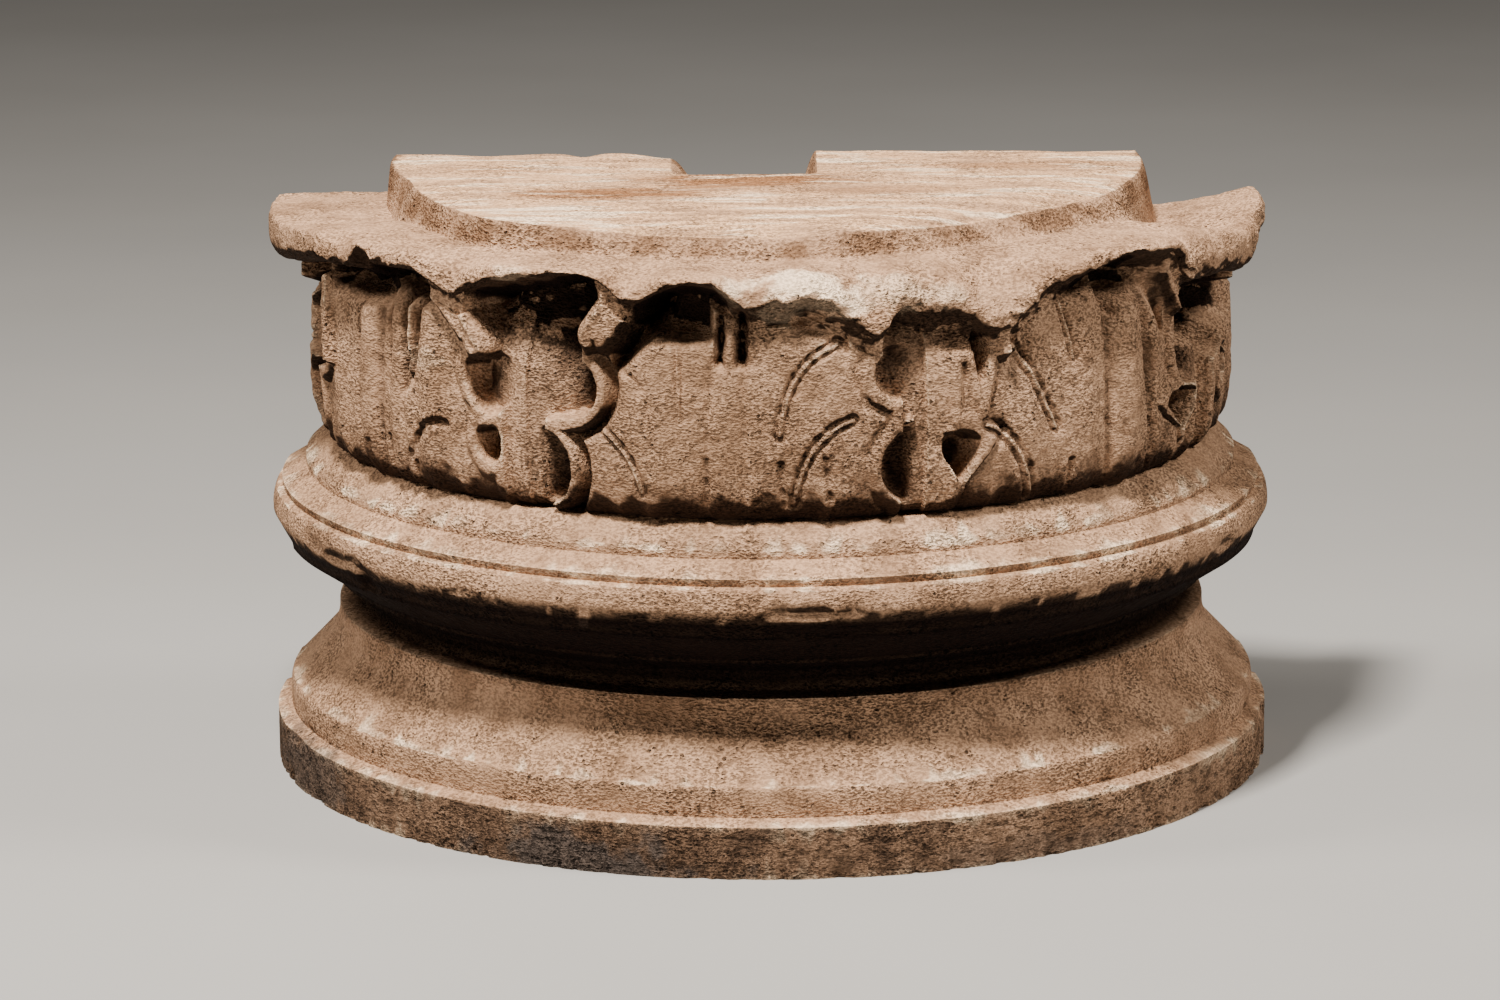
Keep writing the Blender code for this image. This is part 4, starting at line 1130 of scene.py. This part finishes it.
# Painted shade in the openings, at the leaves' feet and in the lines and slots: dark brown, then near black
# where deepest.
recess_shade = both(passage(recess, 0.0, 0.7), passage(blotch, 0.35, 0.60, 0.80, 0.35))
colour = colour_mix(recess_shade, colour, STONE_PAINTED_SHADE)
colour = colour_mix(passage(recess, 0.50, 0.90, 0.0, 0.92), colour, STONE_SHADOW)
colour = colour_mix(both(boss_face, passage(blotch, 0.30, 0.60, 1.0, 0.55)), colour, STONE_BODY)
colour = colour_mix(both(boss_face, passage(blotch, 0.60, 0.42, 0.10, 0.95)), colour, STONE_DEEP)
colour = colour_mix(both(dressed_top, passage(streak, 0.53, 0.61, 0.0, 0.90)), colour, STONE_WHITE)
colour = colour_mix(both(dressed_top, passage(streak, 0.50, 0.40, 0.0, 0.75)), colour, STONE_BODY)
colour = colour_mix(both(dressed_top, passage(thin_streak, 0.46, 0.36, 0.0, 0.60)), colour, STONE_BODY)
for centre, half_sizes, strength in RUST_PATCHES:
    patch = both(oval_patch(centre, half_sizes, streak), dressed_top)
    patch = both(patch, passage(streak, 0.66, 0.52, 0.25, strength))
    colour = colour_mix(patch, colour, STONE_RUST)
for centre, half_sizes, strength in WHITE_SCARS:
    patch = both(oval_patch(centre, half_sizes, blotch), passage(upwards, 0.0, 0.4, 0.15, strength))
    colour = colour_mix(patch, colour, STONE_WHITE)
for centre, half_sizes, strength in PATINA_PATCHES:
    patch = both(oval_patch(centre, half_sizes, blotch), strength)
    colour = colour_mix(patch, colour, STONE_PATINA)
top_calm = passage(upwards, 0.5, 0.97, 1.0, 0.80)
roughness = both(rough_area, top_calm)
# The colour is darkened in the pits, the grit and the plinth's furrows, partly as the stone's grain and
# partly as painted shade in these small hollows.
deep_pits = passage(dents, 0.52, 0.62, 0.15, 1.0)
pitted = both(worked_out("SUBTRACT", 1.0, coarse), deep_pits)
pitting = both(passage(pitted, 0.1, 1.0, 1.04, 0.40), passage(fine, 0.0, 0.9, 0.58, 1.10))
pitting = both(pitting, passage(grit, 0.38, 0.60, 0.44, 1.34))
grey_level = worked_out("ADD", both(pitting, roughness), worked_out("SUBTRACT", 1.0, roughness))
furrows = both(plinth_side, passage(tooling, 0.50, 0.38))
grey_level = both(grey_level, passage(furrows, 0.0, 1.0, 1.0, 0.45))
grey = tree.nodes.new("ShaderNodeCombineColor")
for channel in ("Red", "Green", "Blue"):
    put(grey.inputs[channel], grey_level)
colour = colour_mix(1.0, colour, grey.outputs["Color"], "MULTIPLY")
put(shader.inputs["Base Color"], colour)
put(shader.inputs["Roughness"], passage(pit, 0.30, 0.70, 0.96, 0.84))
shader.inputs["Specular IOR Level"].default_value = STONE_SPECULAR


def raised(height, distance, strength, below=None):
    """Bump by a height, laid over another bump."""
    node = tree.nodes.new("ShaderNodeBump")
    put(node.inputs["Height"], height)
    node.inputs["Distance"].default_value = distance
    node.inputs["Strength"].default_value = strength
    if below:
        put(node.inputs["Normal"], below)
    return node.outputs["Normal"]


surface = raised(blotch, 0.0026, 0.7)
surface = raised(both(tooling, plinth_side), 0.0040, 1.0, surface)
surface = raised(both(dents, roughness), 0.0026, 1.0, surface)
surface = raised(both(pitted, roughness), -0.0012, 1.0, surface)
surface = raised(both(grit, roughness), 0.0026, 1.0, surface)
put(shader.inputs["Normal"], surface)
stone.data.materials.clear()
stone.data.materials.append(stone_material)
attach(stone, "root")
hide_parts("capital_block")

# Floor and light
# A plain pale studio floor, matt and almost even in tone. A soft warm key light stands in front, above and
# a little to the left, and a weaker light on either side opens the shadows.
FLOOR_HALF_SIZE = 6.0
FLOOR_LOW = (0.385, 0.375, 0.360, 1.0)
FLOOR_HIGH = (0.410, 0.400, 0.385, 1.0)
LIGHT_COLOUR = (1.0, 0.945, 0.875)
WORLD_COLOUR = (0.75, 0.76, 0.78, 1.0)
WORLD_STRENGTH = 0.008

floor_mesh = bpy.data.meshes.new("floor")
floor_edit = bmesh.new()
bmesh.ops.create_grid(floor_edit, x_segments=1, y_segments=1, size=FLOOR_HALF_SIZE)
floor_edit.to_mesh(floor_mesh)
floor_edit.free()
floor = bpy.data.objects.new("floor", floor_mesh)
bpy.context.scene.collection.objects.link(floor)
floor_material = bpy.data.materials.new("pale_floor")
floor_material.use_nodes = True
floor_tree = floor_material.node_tree
floor_shader = floor_tree.nodes["Principled BSDF"]
floor_place = floor_tree.nodes.new("ShaderNodeTexCoord")
floor_noise = floor_tree.nodes.new("ShaderNodeTexNoise")
floor_noise.inputs["Scale"].default_value = 3.0
floor_noise.inputs["Detail"].default_value = 3.0
floor_shades = floor_tree.nodes.new("ShaderNodeValToRGB")
for stop, position, shade in zip(floor_shades.color_ramp.elements, (0.30, 0.70), (FLOOR_LOW, FLOOR_HIGH)):
    stop.position = position
    stop.color = shade
floor_tree.links.new(floor_place.outputs["Object"], floor_noise.inputs["Vector"])
floor_tree.links.new(floor_noise.outputs["Fac"], floor_shades.inputs["Fac"])
floor_tree.links.new(floor_shades.outputs["Color"], floor_shader.inputs["Base Color"])
floor_shader.inputs["Roughness"].default_value = 0.8
floor_mesh.materials.append(floor_material)


def soft_light(name, place, target, size, power):
    """A square studio light that faces the target."""
    data = bpy.data.lights.new(name, "AREA")
    data.energy = power
    data.size = size
    data.color = LIGHT_COLOUR
    light = bpy.data.objects.new(name, data)
    light.location = place
    light.rotation_euler = (Vector(target) - Vector(place)).to_track_quat("-Z", "Y").to_euler()
    bpy.context.scene.collection.objects.link(light)


soft_light("key", (-0.30, -0.86, 2.00), (0.0, -0.1, 0.2), 0.28, 94.0)
soft_light("left", (-1.35, -0.45, 1.50), (0.0, -0.05, 0.15), 0.40, 19.0)
soft_light("right", (1.35, -0.45, 1.50), (0.0, -0.05, 0.15), 0.40, 21.0)
world = bpy.data.worlds.new("studio")
world.use_nodes = True
background = world.node_tree.nodes["Background"]
background.inputs["Color"].default_value = WORLD_COLOUR
background.inputs["Strength"].default_value = WORLD_STRENGTH
bpy.context.scene.world = world
